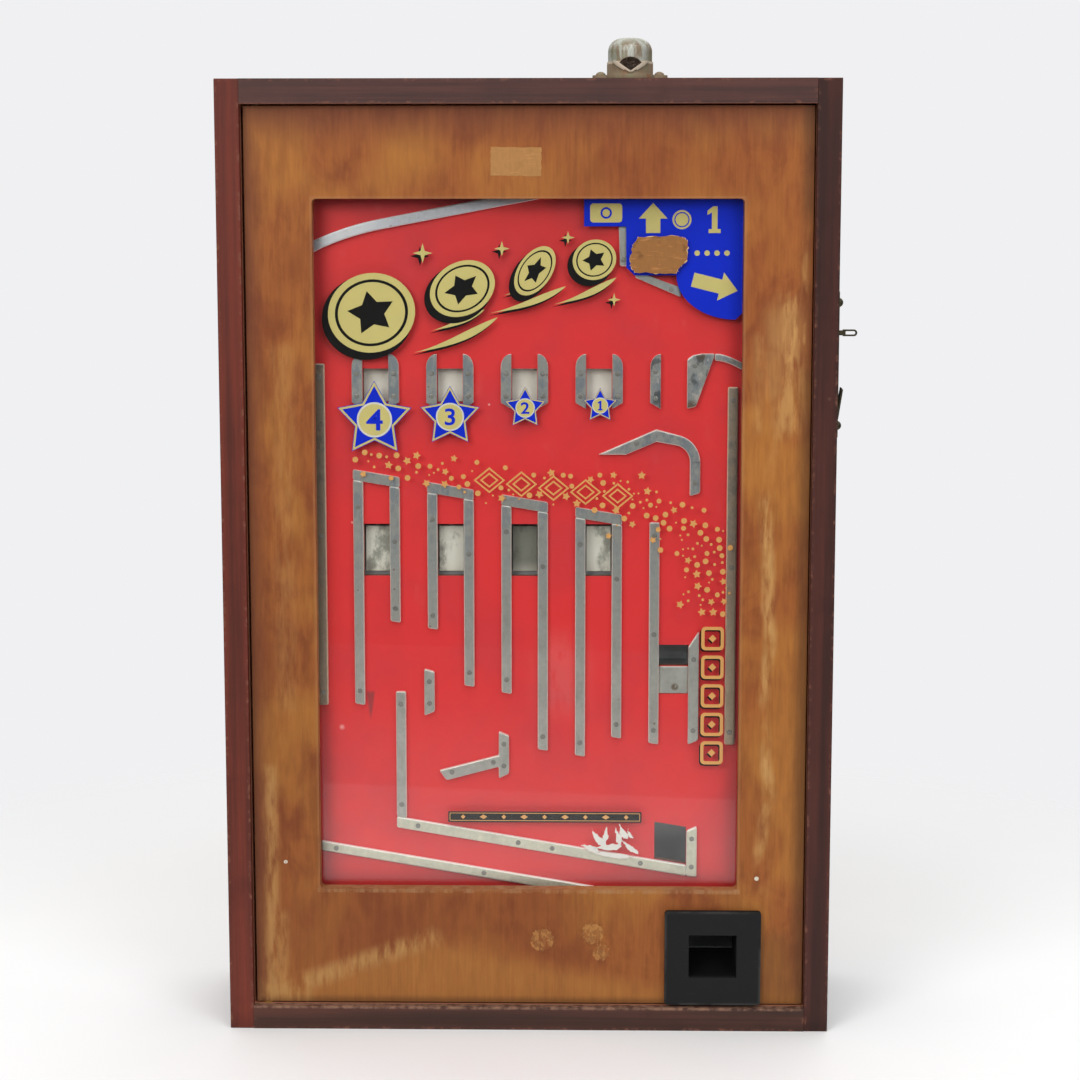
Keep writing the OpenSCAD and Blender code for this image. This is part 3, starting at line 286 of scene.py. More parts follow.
class Finish(Nodes):
    """A procedural material in the making, on the frame's own coordinates. Its tone is the colour so far."""

    def __init__(self, name, tone=None):
        self.material = bpy.data.materials.new(name)
        self.material.use_nodes = True
        super().__init__(self.material.node_tree)
        self.tone = tone
        self.place = self.node("TexCoord").output("Object")
        apart = self.node("SeparateXYZ", None, {0: self.place})
        self.x, self.y, self.z = (apart.output(axis) for axis in "XYZ")

    def scaled(self, scale, shift):
        """The place, scaled along X, Y and Z and shifted."""
        scale = (scale,) * 3 if isinstance(scale, (int, float)) else scale
        return self.node(
            "VectorMath", {"operation": "MULTIPLY_ADD"}, {0: self.place, 1: scale, 2: (shift,) * 3})

    def noise(self, scale, detail=3.0, roughness=0.55, shift=0.0, distortion=0.0):
        """Noise with its features 1/scale metres large along X, Y and Z."""
        return self.node("TexNoise", None, {
            "Vector": self.scaled(scale, shift), "Scale": 1.0, "Detail": detail,
            "Roughness": roughness, "Distortion": distortion})

    def specks(self, scale, radius, share, shift=0.0):
        """Small round marks, one in a share of the cells of a grid with that scale."""
        cells = self.node("TexVoronoi", None, {"Vector": self.scaled(scale, shift), "Scale": 1.0})
        chance = self.node("SeparateColor", None, {0: cells.output("Color")})
        return cells.between(radius, radius * 0.6) * chance.between(share, share * 0.9)

    def mix(self, under, over, share, blend="MIX"):
        return self.node(
            "Mix", {"data_type": "RGBA", "blend_type": blend},
            {0: share, 6: rgba(under), 7: rgba(over)}, out=2)

    def coat(self, over, share):
        """Lays a colour over the tone, by a share of 0 to 1."""
        self.tone = self.mix(self.tone, over, share)

    def shaded(self, under, amount):
        """The colour under, made lighter or darker by a number."""
        grey = self.node("CombineColor", None, {0: amount, 1: amount, 2: amount})
        return self.mix(under, grey, 1.0, "MULTIPLY")

    def shade(self, amount):
        """Makes the tone lighter or darker by a number."""
        self.tone = self.shaded(self.tone, amount)

    def zone(self, x0, x1, z0, z1, soft):
        """1 inside a box of the front view in millimetres, with a soft edge."""
        x0, x1, z0, z1, soft = (v * MM for v in (x0, x1, z0, z1, soft))
        across = self.x.between(x0 - soft, x0 + soft) * self.x.between(x1 + soft, x1 - soft)
        return across * self.z.between(z0 - soft, z0 + soft) * self.z.between(z1 + soft, z1 - soft)

    def spot(self, x, z, radius, soft):
        """1 inside a circle of the front view in millimetres, with a soft edge."""
        away = self.away(self.x - x * MM, self.z - z * MM)
        return away.between((radius + soft) * MM, (radius - soft) * MM)

    def away(self, across, along):
        """Distance from the place where both are 0."""
        return (across * across + along * along) ** 0.5

    def eased(self):
        """1 on the eased edges of pieces that face the front."""
        normal = self.node("SeparateXYZ", None, {0: self.node("NewGeometry").output("Normal")})
        return normal.output("Y").size().between(0.97, 0.7)

    def side_gap(self):
        """Distance to the nearer side of the glass."""
        return (self.x - GLASS_LOW.x).least(GLASS_HIGH.x - self.x)

    def edge_gap(self, low, high):
        """Distance to the nearest edge of a box: the second smallest distance to its faces."""
        gaps = [(axis - low[i]).least(high[i] - axis) for i, axis in enumerate((self.x, self.y, self.z))]
        smaller = gaps[0].least(gaps[1])
        larger = gaps[0].most(gaps[1])
        return smaller.most(larger.least(gaps[2]))

    def surface(self, roughness, metallic=0.0, height=None, depth=0.1, specular=0.5):
        """Ends the material in one shader. Height is a bump of so many millimetres."""
        inputs = {"Base Color": rgba(self.tone), "Roughness": roughness, "Metallic": metallic,
                  "Specular IOR Level": specular}
        if height is not None:
            bump = {"Strength": 1.0, "Distance": depth * MM, "Height": height}
            inputs["Normal"] = self.node("Bump", None, bump)
        return self.end(self.node("BsdfPrincipled", None, inputs))

    def end(self, shader):
        self.node("OutputMaterial", None, {"Surface": shader})
        return self.material


def dress(material, *names):
    """Gives CAD nodes a material."""
    for name in names:
        NODES[name].data.materials.clear()
        NODES[name].data.materials.append(material)


def ease_edges(width, *pieces):
    """Rounds the sharp edges of pieces or CAD nodes with modifiers, by a width in millimetres."""
    sharp = math.radians(50)
    for piece in pieces:
        piece = NODES.get(piece, piece)
        weld = piece.modifiers.new("weld", "WELD")
        weld.merge_threshold = SEAM
        bevel = piece.modifiers.new("edges", "BEVEL")
        bevel.width = width * MM
        bevel.segments = 2
        bevel.limit_method = "ANGLE"
        bevel.angle_limit = sharp
        bevel.harden_normals = True


def link(name, data):
    """Adds an object to the scene."""
    made = bpy.data.objects.new(name, data)
    bpy.context.scene.collection.objects.link(made)
    return made


def put(name, mesh, material, body):
    """Adds a piece with a material, riding on a body."""
    mesh.materials.clear()
    mesh.materials.append(material)
    piece = link(name, mesh)
    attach(piece, body)
    return piece


def mesh_from(name, shape):
    """The mesh of a bmesh, which is used up."""
    mesh = bpy.data.meshes.new(name)
    shape.to_mesh(mesh)
    shape.free()
    return mesh


def mesh_of(name, curve):
    """The mesh of a flat curve or text, turned upright to face the front, with its seams closed."""
    draft = link(name, curve)
    graph = bpy.context.evaluated_depsgraph_get()
    mesh = bpy.data.meshes.new_from_object(draft.evaluated_get(graph))
    bpy.data.objects.remove(draft)
    bpy.data.curves.remove(curve)
    shape = bmesh.new()
    shape.from_mesh(mesh)
    bmesh.ops.remove_doubles(shape, verts=shape.verts, dist=FINE_SEAM)
    shape.to_mesh(mesh)
    shape.free()
    mesh.transform(Matrix.Rotation(math.pi / 2, 4, "X"))
    mesh.name = name
    return mesh


def box_of(places):
    """The lowest and the highest corner of some places."""
    return [Vector([pick(place[i] for place in places) for i in range(3)]) for pick in (min, max)]


def plate(name, loops, front, thick):
    """A thin closed plate: loops of (x, z) in millimetres, filled by the even-odd rule, from depth front."""
    curve = bpy.data.curves.new(name, "CURVE")
    curve.dimensions = "2D"
    curve.fill_mode = "BOTH"
    curve.extrude = thick / 2
    for loop in loops:
        spline = curve.splines.new("POLY")
        spline.points.add(len(loop) - 1)
        spline.use_cyclic_u = True
        for point, (x, z) in zip(spline.points, loop):
            point.co = (x * MM, z * MM, 0.0, 1.0)
    mesh = mesh_of(name, curve)
    mesh.transform(Matrix.Translation((0.0, front + thick / 2, 0.0)))
    return mesh


def placed(points, x, z, turn=0.0):
    """Points, turned by an angle in degrees and moved."""
    cos, sin = math.cos(math.radians(turn)), math.sin(math.radians(turn))
    return [(x + a * cos - b * sin, z + a * sin + b * cos) for a, b in points]


def arc(x, z, radius, start, sweep, count):
    """Points along an arc from an angle in degrees, with both its ends."""
    angles = [math.radians(start + sweep * i / count) for i in range(count + 1)]
    return [(x + radius * math.cos(angle), z + radius * math.sin(angle)) for angle in angles]


def circle(count):
    """Points of a circle of radius 1."""
    return arc(0.0, 0.0, 1.0, 0.0, 360.0, count)[:-1]


def ellipse(x, z, wide, high=None, turn=0.0, count=48):
    high = wide if high is None else high
    return placed([(a * wide, b * high) for a, b in circle(count)], x, z, turn)


def star(x, z, tip, waist=0.53, points=5, turn=90.0):
    reach = (tip, tip * waist)
    loop = [(a * reach[i % 2], b * reach[i % 2]) for i, (a, b) in enumerate(circle(2 * points))]
    return placed(loop, x, z, turn)


def tablet(x0, x1, z0, z1, radius, count=6):
    """A rectangle with round corners."""
    left, right, low, high = x0 + radius, x1 - radius, z0 + radius, z1 - radius
    corners = ((right, high, 0), (left, high, 90), (left, low, 180), (right, low, 270))
    return [point for x, z, start in corners for point in arc(x, z, radius, start, 90, count)]


def arrow(x, z, reach, shaft, head, wing, turn):
    """A block arrow with its tip at (x, z)."""
    upper = [(-head, wing), (-head, shaft), (-reach, shaft)]
    lower = [(a, -b) for a, b in reversed(upper)]
    return placed([(0, 0), *upper, *lower], x, z, turn)


def streak(start, end, bow, width, count=20):
    """A stroke that swells and tapers from start to end, bowed to its left."""
    ahead, up = end[0] - start[0], end[1] - start[1]
    run = math.hypot(ahead, up)
    tip, lean, swell = 0.05, 1.6, 0.8
    sides = ([], [])
    for i in range(count + 1):
        t = i / count
        half = width / 2 * math.sin(math.pi * t ** lean) ** swell if 0 < i < count else tip
        for side, sign in zip(sides, (1, -1)):
            side.append((run * t, bow * 4 * t * (1 - t) + sign * half))
    return placed(sides[0] + sides[1][::-1], *start, math.degrees(math.atan2(up, ahead)))


def ink_front(layer):
    """Depth of a layer of ink behind the glass. Layer 0 lies next to the glass."""
    first, pitch = 0.6, 1.4
    return GLASS_HIGH.y + (first + layer * pitch) * look_of("print").layer


def ink_of(name):
    """A printing ink, made once."""
    ready = bpy.data.materials.get("ink_" + name)
    return ready or ink_finish("ink_" + name, getattr(look_of("print"), name))


def printed(name, loops, layer, ink):
    """A printed shape on the back of the glass."""
    mesh = plate(name, loops, ink_front(layer), look_of("print").layer)
    return put(name, mesh, ink_of(ink), "door")


def numeral(name, number, x, z, height, layer, ink):
    """Prints a plain number, centred on (x, z) in millimetres. The one is drawn with a flag and a foot."""
    if number == 1:
        drawn = 20
        outline = ((-4, -10), (5, -10), (5, -7), (2.6, -7), (2.6, 10), (-0.6, 10), (-5, 6.6), (-5, 3.6),
                   (-1.6, 5.4), (-1.6, -7), (-4, -7))
        scale = height / drawn
        return printed(name, [[(x + a * scale, z + b * scale) for a, b in outline]], layer, ink)
    weight, stretch = 0.016, 1.15
    thick = look_of("print").layer
    curve = bpy.data.curves.new(name, "FONT")
    curve.body = str(number)
    curve.extrude = thick / 2
    curve.offset = weight
    mesh = mesh_of(name, curve)
    low, high = box_of([vert.co for vert in mesh.vertices])
    size = height * MM / (high.z - low.z)
    mesh.transform(Matrix.Translation((low + high) / -2))
    mesh.transform(Matrix.Diagonal((size * stretch, 1.0, size, 1.0)))
    mesh.transform(Matrix.Translation((x * MM, ink_front(layer) + thick / 2, z * MM)))
    return put(name, mesh, ink_of(ink), "door")


def ink_finish(name, base):
    """Matt ink with fine flaws."""
    ink = Finish(name, base)
    cloud = ink.noise(60, 4)
    grain = ink.noise(1500, 2)
    ink.shade(0.92 + cloud * 0.14 + grain * 0.04)
    ink.coat(times(base, 0.55), ink.specks(260, 0.16, 0.035) * 0.6)
    return ink.surface(0.45 + cloud * 0.2, height=grain, depth=0.02, specular=0.15)


def stained_board(name, along, tint, pale_top):
    """Dark stained board: soft stripes and pores along one axis, rubbed edges, dents and dust."""
    low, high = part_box(name)
    # The tint holds both the board's stain and painted light: the left board is painted lighter and the right
    # board darker, as if lit from the left.
    look = look_of("wood")
    dark = times(look.stain, tint)
    wood = Finish("stain_" + name, dark)
    fine, stripe, broad = [700.0] * 3, [150.0] * 3, [60.0] * 3
    fine[along], stripe[along], broad[along] = 36.0, 2.2, 3.4
    pores = wood.noise(fine, 3)
    stripes = wood.noise(stripe, 3, shift=1.0 + along)
    bands = wood.noise(broad, 4, shift=3.0 + along)
    cloud = wood.noise(13, 5, 0.6, shift=8.0)
    red = (stripes * 0.45 + bands * 0.35 + cloud * 0.2).between(0.38, 0.62)
    wood.coat(times(look.stain_red, tint), red)
    wood.coat(times(dark, 0.55), cloud.between(0.52, 0.74) * 0.45)
    # Darker towards the foot of each board.
    wood.shade((0.8 + pores * 0.24 + bands * 0.16) * (1.0 - wood.z.between(0.02, 0.002) * 0.25))
    edge = wood.edge_gap(low, high)
    bite = wood.noise(150, 5, 0.65)
    rubbed = edge.between(0.0036, 0.0004) * bite.between(0.5, 0.68)
    wood.coat(look.rubbed, rubbed * 0.75)
    # The top edge is painted paler in broken patches, by the board's share.
    crest = (high.z - wood.z).between(0.0032, 0.0012) * bite.between(0.34, 0.6)
    wood.coat(linear(146, 112, 92), crest * pale_top)
    axis, inner = {"left_side": (wood.x, high.x), "right_side": (wood.x, low.x),
                   "top_board": (wood.z, low.z), "bottom_board": (wood.z, high.z)}[name]
    inward = (axis - inner).size().between(0.0005, 0.0001)
    # Painted light: the underside of the top board, in front of the door, is painted paler so that the shaded
    # gap over the door reads brown.
    if name == "top_board":
        wood.coat(linear(150, 96, 76), inward * 0.6)
    unstained = inward * wood.y.between(DOOR_LOW.y - 0.0005, DOOR_LOW.y + 0.0005)
    wood.coat(wood.shaded(linear(196, 128, 98), 0.7 + bands * 0.4 + pores * 0.2), unstained)
    chips = wood.specks(48, 0.11, 0.05, 2.0) * edge.between(0.02, 0.004)
    wood.coat(linear(176, 142, 118), chips * 0.8)
    height = pores * 0.5 + stripes * 0.4 - rubbed * 0.7 - chips
    rough = 0.46 + cloud * 0.16 + rubbed * 0.2
    return wood.surface(rough, height=height, depth=0.14, specular=0.22)


def door_oak():
    """Varnished oak: soft short grain, blotchy and worn varnish, old scars and chips; dirt and painted shade
    along the rims, a painted shadow under the top board and down the left edge, and painted light that grows
    towards the top and the right.
    """
    look = look_of("wood")
    wood = Finish("door_oak", look.oak_deep)
    pores = wood.noise((460, 460, 24), 3, 0.6)
    fibres = wood.noise((165, 165, 36), 4, 0.55, shift=2.0)
    figure = wood.noise((32, 32, 20), 4, 0.55, shift=5.0, distortion=0.8)
    blotch = wood.noise((9, 9, 7), 3, 0.5, shift=1.3)
    ragged = wood.noise((120, 120, 26), 5, 0.66, shift=7.0)
    wood.coat(look.oak, (figure * 0.7 + fibres * 0.3).between(0.34, 0.6))
    wood.coat(look.oak_ochre, blotch.between(0.47, 0.62) * (0.45 + fibres * 0.6))
    wood.coat(look.oak_deep, blotch.between(0.44, 0.32) * 0.55)
    foot = (low_varnish(wood) - wood.z).between(-0.012, 0.016)
    wood.coat(linear(172, 112, 54), foot * (0.35 + ragged * 0.9).least(0.85))
    above = (wood.zone(-235, 60, 60, 128, 18) * (1.0 - foot)).most(wood.zone(20, 210, 765, 818, 20))
    wood.coat(look.oak_deep, above * 0.45)
    wood.coat(look.oak_ochre, wood.spot(-104, 812, 26, 18) * 0.7)
    from_right, from_left = DOOR_HIGH.x - wood.x, wood.x - DOOR_LOW.x
    from_top, from_foot = DOOR_HIGH.z - wood.z, wood.z - DOOR_LOW.z
    shadow = from_top.between(0.046, 0.002) * (0.4 + blotch * 0.6)
    wood.coat(linear(112, 60, 42), shadow.most(from_left.between(0.022, 0.002) * 0.62))
    rubbed = 1.0 - wood.zone(232, 266, 620, 752, 16) * 0.55
    # Dirt and painted shade along the door's rims, deepest at the right and in the lower right corner, and
    # less where the right stile is rubbed.
    rim_dirt_and_shade = (from_right.between(0.016, 0.004) * rubbed * 0.62).most(
        from_left.between(0.008, 0.001) * 0.25, from_foot.between(0.008, 0.001) * 0.5,
        from_top.between(0.006, 0.001) * 0.25, wood.zone(205, 262, 10, 92, 12) * 0.4)
    wood.coat(look.oak_rim, rim_dirt_and_shade)
    worn = worn_varnish(wood) * (ragged * 0.6 + fibres * 0.5).between(0.4, 0.66)
    bleached = wood.zone(218, 244, 630, 674, 14).most(wood.zone(214, 232, 590, 640, 10) * 0.7)
    wood.coat(look.oak_pale, worn.most(bleached * (0.25 + ragged * 0.75)))
    inside = wood.zone(-196.5, 196.5, 131, 772.5, 0.6)
    sill = wood.zone(-197, 197, 129.5, 134, 0.8) * ragged.between(0.36, 0.6)
    wood.coat(linear(178, 134, 94), (sill * 0.6).most(inside * 0.2))
    scar = wood.spot(13, 85, 13, 4).most(wood.spot(60, 91, 12, 4), wood.spot(68, 73, 10, 4))
    crackle = wood.noise((210, 210, 150), 5, 0.7, shift=4.0)
    torn = (scar * crackle).between(0.42, 0.5)
    wood.coat(linear(190, 134, 76), torn * 0.7)
    wood.coat(linear(88, 48, 28), scar * crackle.between(0.46, 0.5) * crackle.between(0.54, 0.5) * 0.6)
    chips = wood.spot(-226.5, 158.5, 2.2, 0.6).most(wood.spot(212.5, 144.5, 2.4, 0.6))
    chips = (chips * (0.4 + ragged)).between(0.74, 0.86)
    wood.coat(linear(226, 216, 196), chips)
    # Painted light: the door is painted lighter towards the top and towards the right.
    light = 0.79 + wood.z.between(0.1, 0.75) * 0.19 + wood.x * 0.2
    wood.shade((0.7 + pores * 0.38 + fibres * 0.22) * light)
    height = pores * 0.6 + fibres * 0.4 - torn * 0.6 - chips
    rough = 0.46 + worn * 0.2 + blotch * 0.12 + torn * 0.2
    return wood.surface(rough, height=height, specular=0.22)


def worn_varnish(wood):
    """Where hands and cleaning have worn the door's varnish: a wavy streak and several patches."""
    sway = wood.noise((4, 4, 13), 3, shift=11.0) * 0.024 - 0.012
    middle = 0.2195 + (wood.z - 0.5).most(0.0) * 0.14 + sway
    patchy = wood.noise((20, 20, 17), 3, shift=15.0).between(0.38, 0.58)
    upright = wood.z.between(0.05, 0.2) * wood.z.between(0.7, 0.65)
    line = (wood.x - middle).size().between(0.009, 0.001) * upright
    worn = line * patchy * (1.0 - wood.zone(190, 262, 505, 558, 8) * 0.8)
    flames = (wood.z - low_varnish(wood)).size().between(0.015, 0.001)
    patches = (
        ((-245, -234, 36, 250, 5), 0.75), ((-232, -214, 300, 640, 8), 0.25), ((-250, -205, 26, 44, 8), 0.85),
        ((205, 214, 560, 650, 6), 0.4), ((224, 246, 560, 684, 9), 0.75), ((247, 251, 640, 745, 3), 0.6),
        ((-246, -226, 40, 110, 6), 0.6))
    return worn.most(flames * wood.zone(-250, -85, 20, 110, 10) * 0.85,
                     *(wood.zone(*zone) * amount for zone, amount in patches))


def low_varnish(wood):
    """Height up to which the varnish has faded along the door's foot: it rises and falls to the right."""
    rise = 0.032 + (wood.x + 0.24) * 0.36
    fall = 0.088 - (wood.x + 0.1) * 0.22
    return rise.least(fall)


def bare_wood():
    """Plywood and softwood that was never varnished."""
    base = look_of("wood").bare
    wood = Finish("bare_wood", base)
    fibres = wood.noise((10, 300, 300), 4)
    bands = wood.noise((3, 30, 46), 4, shift=3.0, distortion=0.8)
    wood.coat(times(base, 0.55), bands.between(0.45, 0.7) * 0.6)
    wood.shade(0.72 + fibres * 0.5)
    wood.coat(linear(92, 66, 42), wood.noise(7, 5, shift=9.0).between(0.56, 0.75) * 0.6)
    return wood.surface(0.72 + fibres * 0.16, height=fibres + bands, depth=0.15)


def playfield_paint():
    """Red gloss paint on a board, with rubbed places, grime and specks, and painted shade along the edges of
    the window.
    """
    look = look_of("paint")
    paint = Finish("field_paint", look.field)
    cloud = paint.noise(14, 4, shift=2.0)
    orange_peel = paint.noise(420, 2)
    rub = paint.noise((60, 60, 24), 5, 0.66, shift=6.0)
    paint.coat(look.field_dull, cloud.between(0.42, 0.7) * 0.7)
    paint.coat(linear(226, 94, 92), rub.between(0.6, 0.8) * 0.3)
    # Painted shade: the paint is darker along the window's edges, where the door's frame shades it.
    frame_shade = paint.side_gap().least((paint.z - GLASS_LOW.z).least(GLASS_HIGH.z - paint.z))
    paint.coat(linear(120, 26, 32), frame_shade.between(0.026, 0.006) * 0.42)
    slot_x, slot_foot, slot_top = -0.148, 0.282, 0.318
    wedge = (paint.x - slot_x).size() - (paint.z - (slot_foot + 0.004)) * 0.14
    upright = paint.z.between(slot_foot, slot_foot + 0.016) * paint.z.between(slot_top, slot_top - 0.005)
    grime = wedge.between(0.0012, -0.0016) * upright
    paint.coat(linear(112, 52, 56), grime * (0.3 + rub * 0.7))
    faded = paint.spot(-175, 281.5, 2.0, 1.6).most(paint.zone(10, 50, 296, 368, 18) * 0.18)
    paint.coat(linear(236, 160, 156), faded * rub.between(0.3, 0.5) * 0.8)
    paint.coat(linear(236, 196, 190), paint.specks(24, 0.05, 0.16, 5.0) * 0.8)
    paint.coat(linear(96, 46, 44), paint.specks(30, 0.05, 0.16, 9.0) * 0.7)
    cut = paint.y.between(FIELD_FRONT + 0.0006, FIELD_FRONT + 0.0016)
    paint.coat(linear(110, 70, 52), cut)
    return paint.surface(0.36 + cloud * 0.16 + cut * 0.3, height=orange_peel, depth=0.03)


def strip_metal(name, base, metallic):
    """Dull aluminium strip with fine scratches, dents, smears and dark spots; painted highlights on its eased
    edges and at the upper left, a painted reflection that darkens the upper strips, and painted shade near
    the sides of the glass.
    """
    metal = Finish(name, base)
    smear = metal.noise((90, 90, 55), 5, 0.68)
    dents = metal.noise(230, 4, 0.6, shift=8.0)
    grain = metal.noise((900, 900, 700), 2)
    drawn = metal.noise((1400, 300, 60), 3, shift=3.0)
    metal.shade(0.5 + smear * 0.55 + drawn * 0.12 + dents * 0.4)
    # Painted reflection: strips in the upper part are painted darker and bluer, as if mirroring the dark
    # room.
    upper = metal.z.between(0.3, 0.56) * metal.z.between(0.78, 0.62).most(0.35)
    metal.coat(times(base, (0.5, 0.58, 0.7)), upper * (0.2 + smear.between(0.42, 0.62) * 0.7))
    spots = metal.specks(120, 0.17, 0.09, 4.0)
    rust = metal.spot(136, 321, 3.2, 1.4).most(metal.spot(149, 583, 5, 3), metal.spot(158, 629, 4, 3) * 0.7)
    rust = rust * dents.between(0.3, 0.5)
    struck = metal.zone(109, 171, 574, 632, 4)
    pressed = metal.noise((120, 120, 80), 3, 0.5, shift=12.0)
    metal.coat(linear(66, 70, 74), struck * pressed.between(0.5, 0.62) * 0.7)
    metal.coat(linear(226, 216, 206), struck * pressed.between(0.4, 0.32) * 0.5)
    metal.coat(linear(108, 80, 52), (spots * 0.6).most(rust * 0.8))
    # Painted highlight: the eased edges, and a patch at the upper left, are painted paler and less metallic.
    eased = metal.eased()
    bright = (eased * (0.5 + dents * 0.5)).most(metal.zone(-200, -130, 690, 775, 30) * 0.35)
    metal.coat(times(base, 2.0), bright)
    # Painted shade: darker near the sides of the glass, in the shade of the door's edges.
    metal.shade(1.0 - metal.side_gap().between(0.02, 0.006) * 0.42)
    rough = 0.33 + smear * 0.2 + spots * 0.2
    height = grain * 0.3 + drawn * 0.3 + dents
    return metal.surface(rough, metallic - spots * 0.4 - eased * 0.45, height=height, depth=0.07)


def plated_steel(name, base):
    """Plated or bronzed steel, dulled, with a little rust."""
    metal = Finish(name, base)
    cloud = metal.noise(60, 4)
    grain = metal.noise(900, 2)
    rust = metal.noise(38, 6, 0.7, shift=5.0).between(0.62, 0.72)
    metal.shade(0.66 + cloud * 0.5 + grain * 0.1)
    metal.coat(linear(122, 78, 48), rust * 0.6)
    return metal.surface(0.36 + cloud * 0.2 + rust * 0.3, 0.9 - rust * 0.6, height=grain, depth=0.03)


def worn_nickel():
    """Nickel plate of the coin hood: pale on the cap, the lip and the rim, brown on the cup, and painted near
    white inside as painted light, so that its shaded hollow reads light brown.
    """
    look = look_of("metal")
    metal = Finish("worn_nickel", look.nickel)
    low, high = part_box("hood_cap")
    foot, rim = (corner.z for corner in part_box("hood_cup"))
    across = metal.x - (low.x + high.x) / 2
    away = metal.away(across, metal.y - (low.y + high.y) / 2)
    wall = 0.0011
    cup = (high.x - low.x) / 2 + wall
    runs = metal.noise((150, 150, 36), 4, 0.6, shift=2.7)
    cloud = metal.noise(90, 4, shift=6.0)
    pits = metal.noise(1100, 2)
    lower = metal.z.between(rim + 0.0004, rim - 0.0004)
    lip = away.between(cup + 0.0001, cup + 0.0005).most(metal.z.between(rim - 0.0026, rim - 0.0014))
    # The lip under the rim is painted paler.
    pale_lip = lip * lower * metal.z.between(foot + 0.0056, foot + 0.007)
    pale_lip = pale_lip * away.between(cup + 0.0036, cup + 0.0028)
    # Painted light: the inside of the cap, and whatever lies in it, is painted near white and made matt, so
    # that its shaded hollow reads lit.
    inside = away.between(0.0192, 0.0187) * metal.z.between(high.z - 0.0074, high.z - 0.0084)
    down = 0.25 + (high.z - metal.z).between(0.001, 0.007) * 0.6
    tarnish = runs.between(0.44, 0.6).most(across.between(0.012, 0.019)) * down
    tarnish = tarnish.most(lower * (0.75 + runs * 0.3))
    metal.coat(look.tarnish, tarnish)
    metal.coat(linear(126, 126, 96), cloud.between(0.5, 0.66) * 0.6)
    metal.coat(linear(140, 84, 52), runs.between(0.56, 0.66) * lower * 0.6)
    metal.coat(linear(196, 182, 162), pale_lip * 0.85)
    metal.coat(linear(246, 234, 226), inside)
    rough = 0.46 + runs * 0.16 + tarnish * 0.16 + inside * 0.2
    bright = (0.35 - tarnish * 0.25) * (1.0 - inside)
    return metal.surface(rough, bright, height=pits + runs * 0.5, depth=0.05)


def dull_brass():
    """Brass with dark clouds."""
    base = look_of("metal").brass
    metal = Finish("dull_brass", base)
    cloud = metal.noise(140, 4)
    metal.coat(times(base, 0.45), cloud.between(0.45, 0.7))
    return metal.surface(0.3 + cloud * 0.25, 1.0, height=metal.noise(1000, 2), depth=0.03)


def rocker_finish():
    """Smudged bare metal on the gates and cream paint on the paddles above them."""
    look = look_of("paint")
    paint = Finish("rocker_paint", look.gate)
    smudge = paint.noise((60, 60, 38), 5, 0.64, shift=3.0)
    grain = paint.noise(700, 2)
    paddle_foot = 0.535
    upper = paint.z.between(paddle_foot, paddle_foot + 0.01)
    third_gate = paint.zone(-24, 24, 380, 535, 6) * paint.z.between(0.415, 0.44)
    paint.coat(linear(108, 110, 98), smudge.between(0.47, 0.64) * 0.7)
    paint.coat(linear(78, 80, 67), third_gate * 0.82)
    cream = paint.mix(look.paddle, linear(206, 192, 170), smudge.between(0.5, 0.74) * 0.3)
    paint.coat(cream, upper)
    paint.shade(0.93 + grain * 0.14)
    return paint.surface(0.46 + smudge * 0.2, (1.0 - upper) * 0.2, height=grain + smudge, depth=0.04)


def black_moulding():
    """Black moulding of the payout cup with rubbed corners, fine scratches and its mouth painted near black
    as painted shade.
    """
    black = Finish("black_moulding", look_of("paint").moulding)
    low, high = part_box("payout_cup")
    cloud = black.noise(30, 5, 0.62)
    skin = black.noise(1600, 2)
    scratch = black.noise((30, 400, 900), 3, shift=4.0).between(0.64, 0.74)
    edge = black.edge_gap(low, high).between(0.003, 0.0003) * cloud.between(0.4, 0.6)
    # Painted shade: the inside of the mouth is painted near black and made matt.
    inside = black.y.between(low.y + 0.002, low.y + 0.008)
    black.shade((0.72 + cloud * 0.5) * (1.0 - inside * 0.93))
    black.coat(linear(76, 74, 72), (edge * 0.4).most(scratch * 0.16) * (1.0 - inside))
    rough = 0.6 + cloud * 0.2 + inside * 0.2
    return black.surface(rough, height=skin - scratch, depth=0.04, specular=0.2)


def sheet_glass():
    """Clear sheet glass: light passes through and the surface mirrors the room."""
    glass = Finish("sheet_glass")
    haze = glass.noise((7, 7, 4), 5, 0.6)
    facing = glass.node("LayerWeight", None, {"Blend": 0.5}).output("Facing")
    clear = glass.node("BsdfTransparent", None, {"Color": (0.985, 0.992, 0.988, 1.0)})
    mirror = glass.node("BsdfGlossy", None, {"Color": (1.0, 1.0, 1.0, 1.0), "Roughness": 0.02})
    share = 0.034 + facing ** 5 * 0.85 + haze.between(0.5, 0.8) * 0.006
    return glass.end(glass.node("MixShader", None, {0: share, 1: clear, 2: mirror}))


def screw_dirt():
    """Grey dirt round the strip screws."""
    dirt = Finish("screw_dirt", linear(98, 96, 90))
    cloud = dirt.noise(240, 4)
    dirt.coat(linear(140, 138, 130), cloud.between(0.4, 0.65))
    return dirt.surface(0.75 + cloud * 0.1, height=cloud, depth=0.05)


def paper_finish(name, base, shift, wear):
    """Old paper, with stains and rubbed places in a share of wear."""
    paper = Finish(name, base)
    fibres = paper.noise((500, 500, 160), 4, shift=shift)
    cloud = paper.noise(70, 4, shift=shift + 3)
    creases = paper.noise((90, 90, 420), 5, 0.66, shift=shift + 6)
    paper.shade(0.74 + fibres * 0.28 + cloud * 0.24)
    paper.coat(times(base, 0.4), cloud.between(0.54, 0.72) * wear)
    paper.coat(times(base, 1.7), creases.between(0.54, 0.7) * wear)
    height = fibres + cloud + creases * wear
    return paper.surface(0.72 + fibres * 0.2, height=height, depth=0.08, specular=0.2)


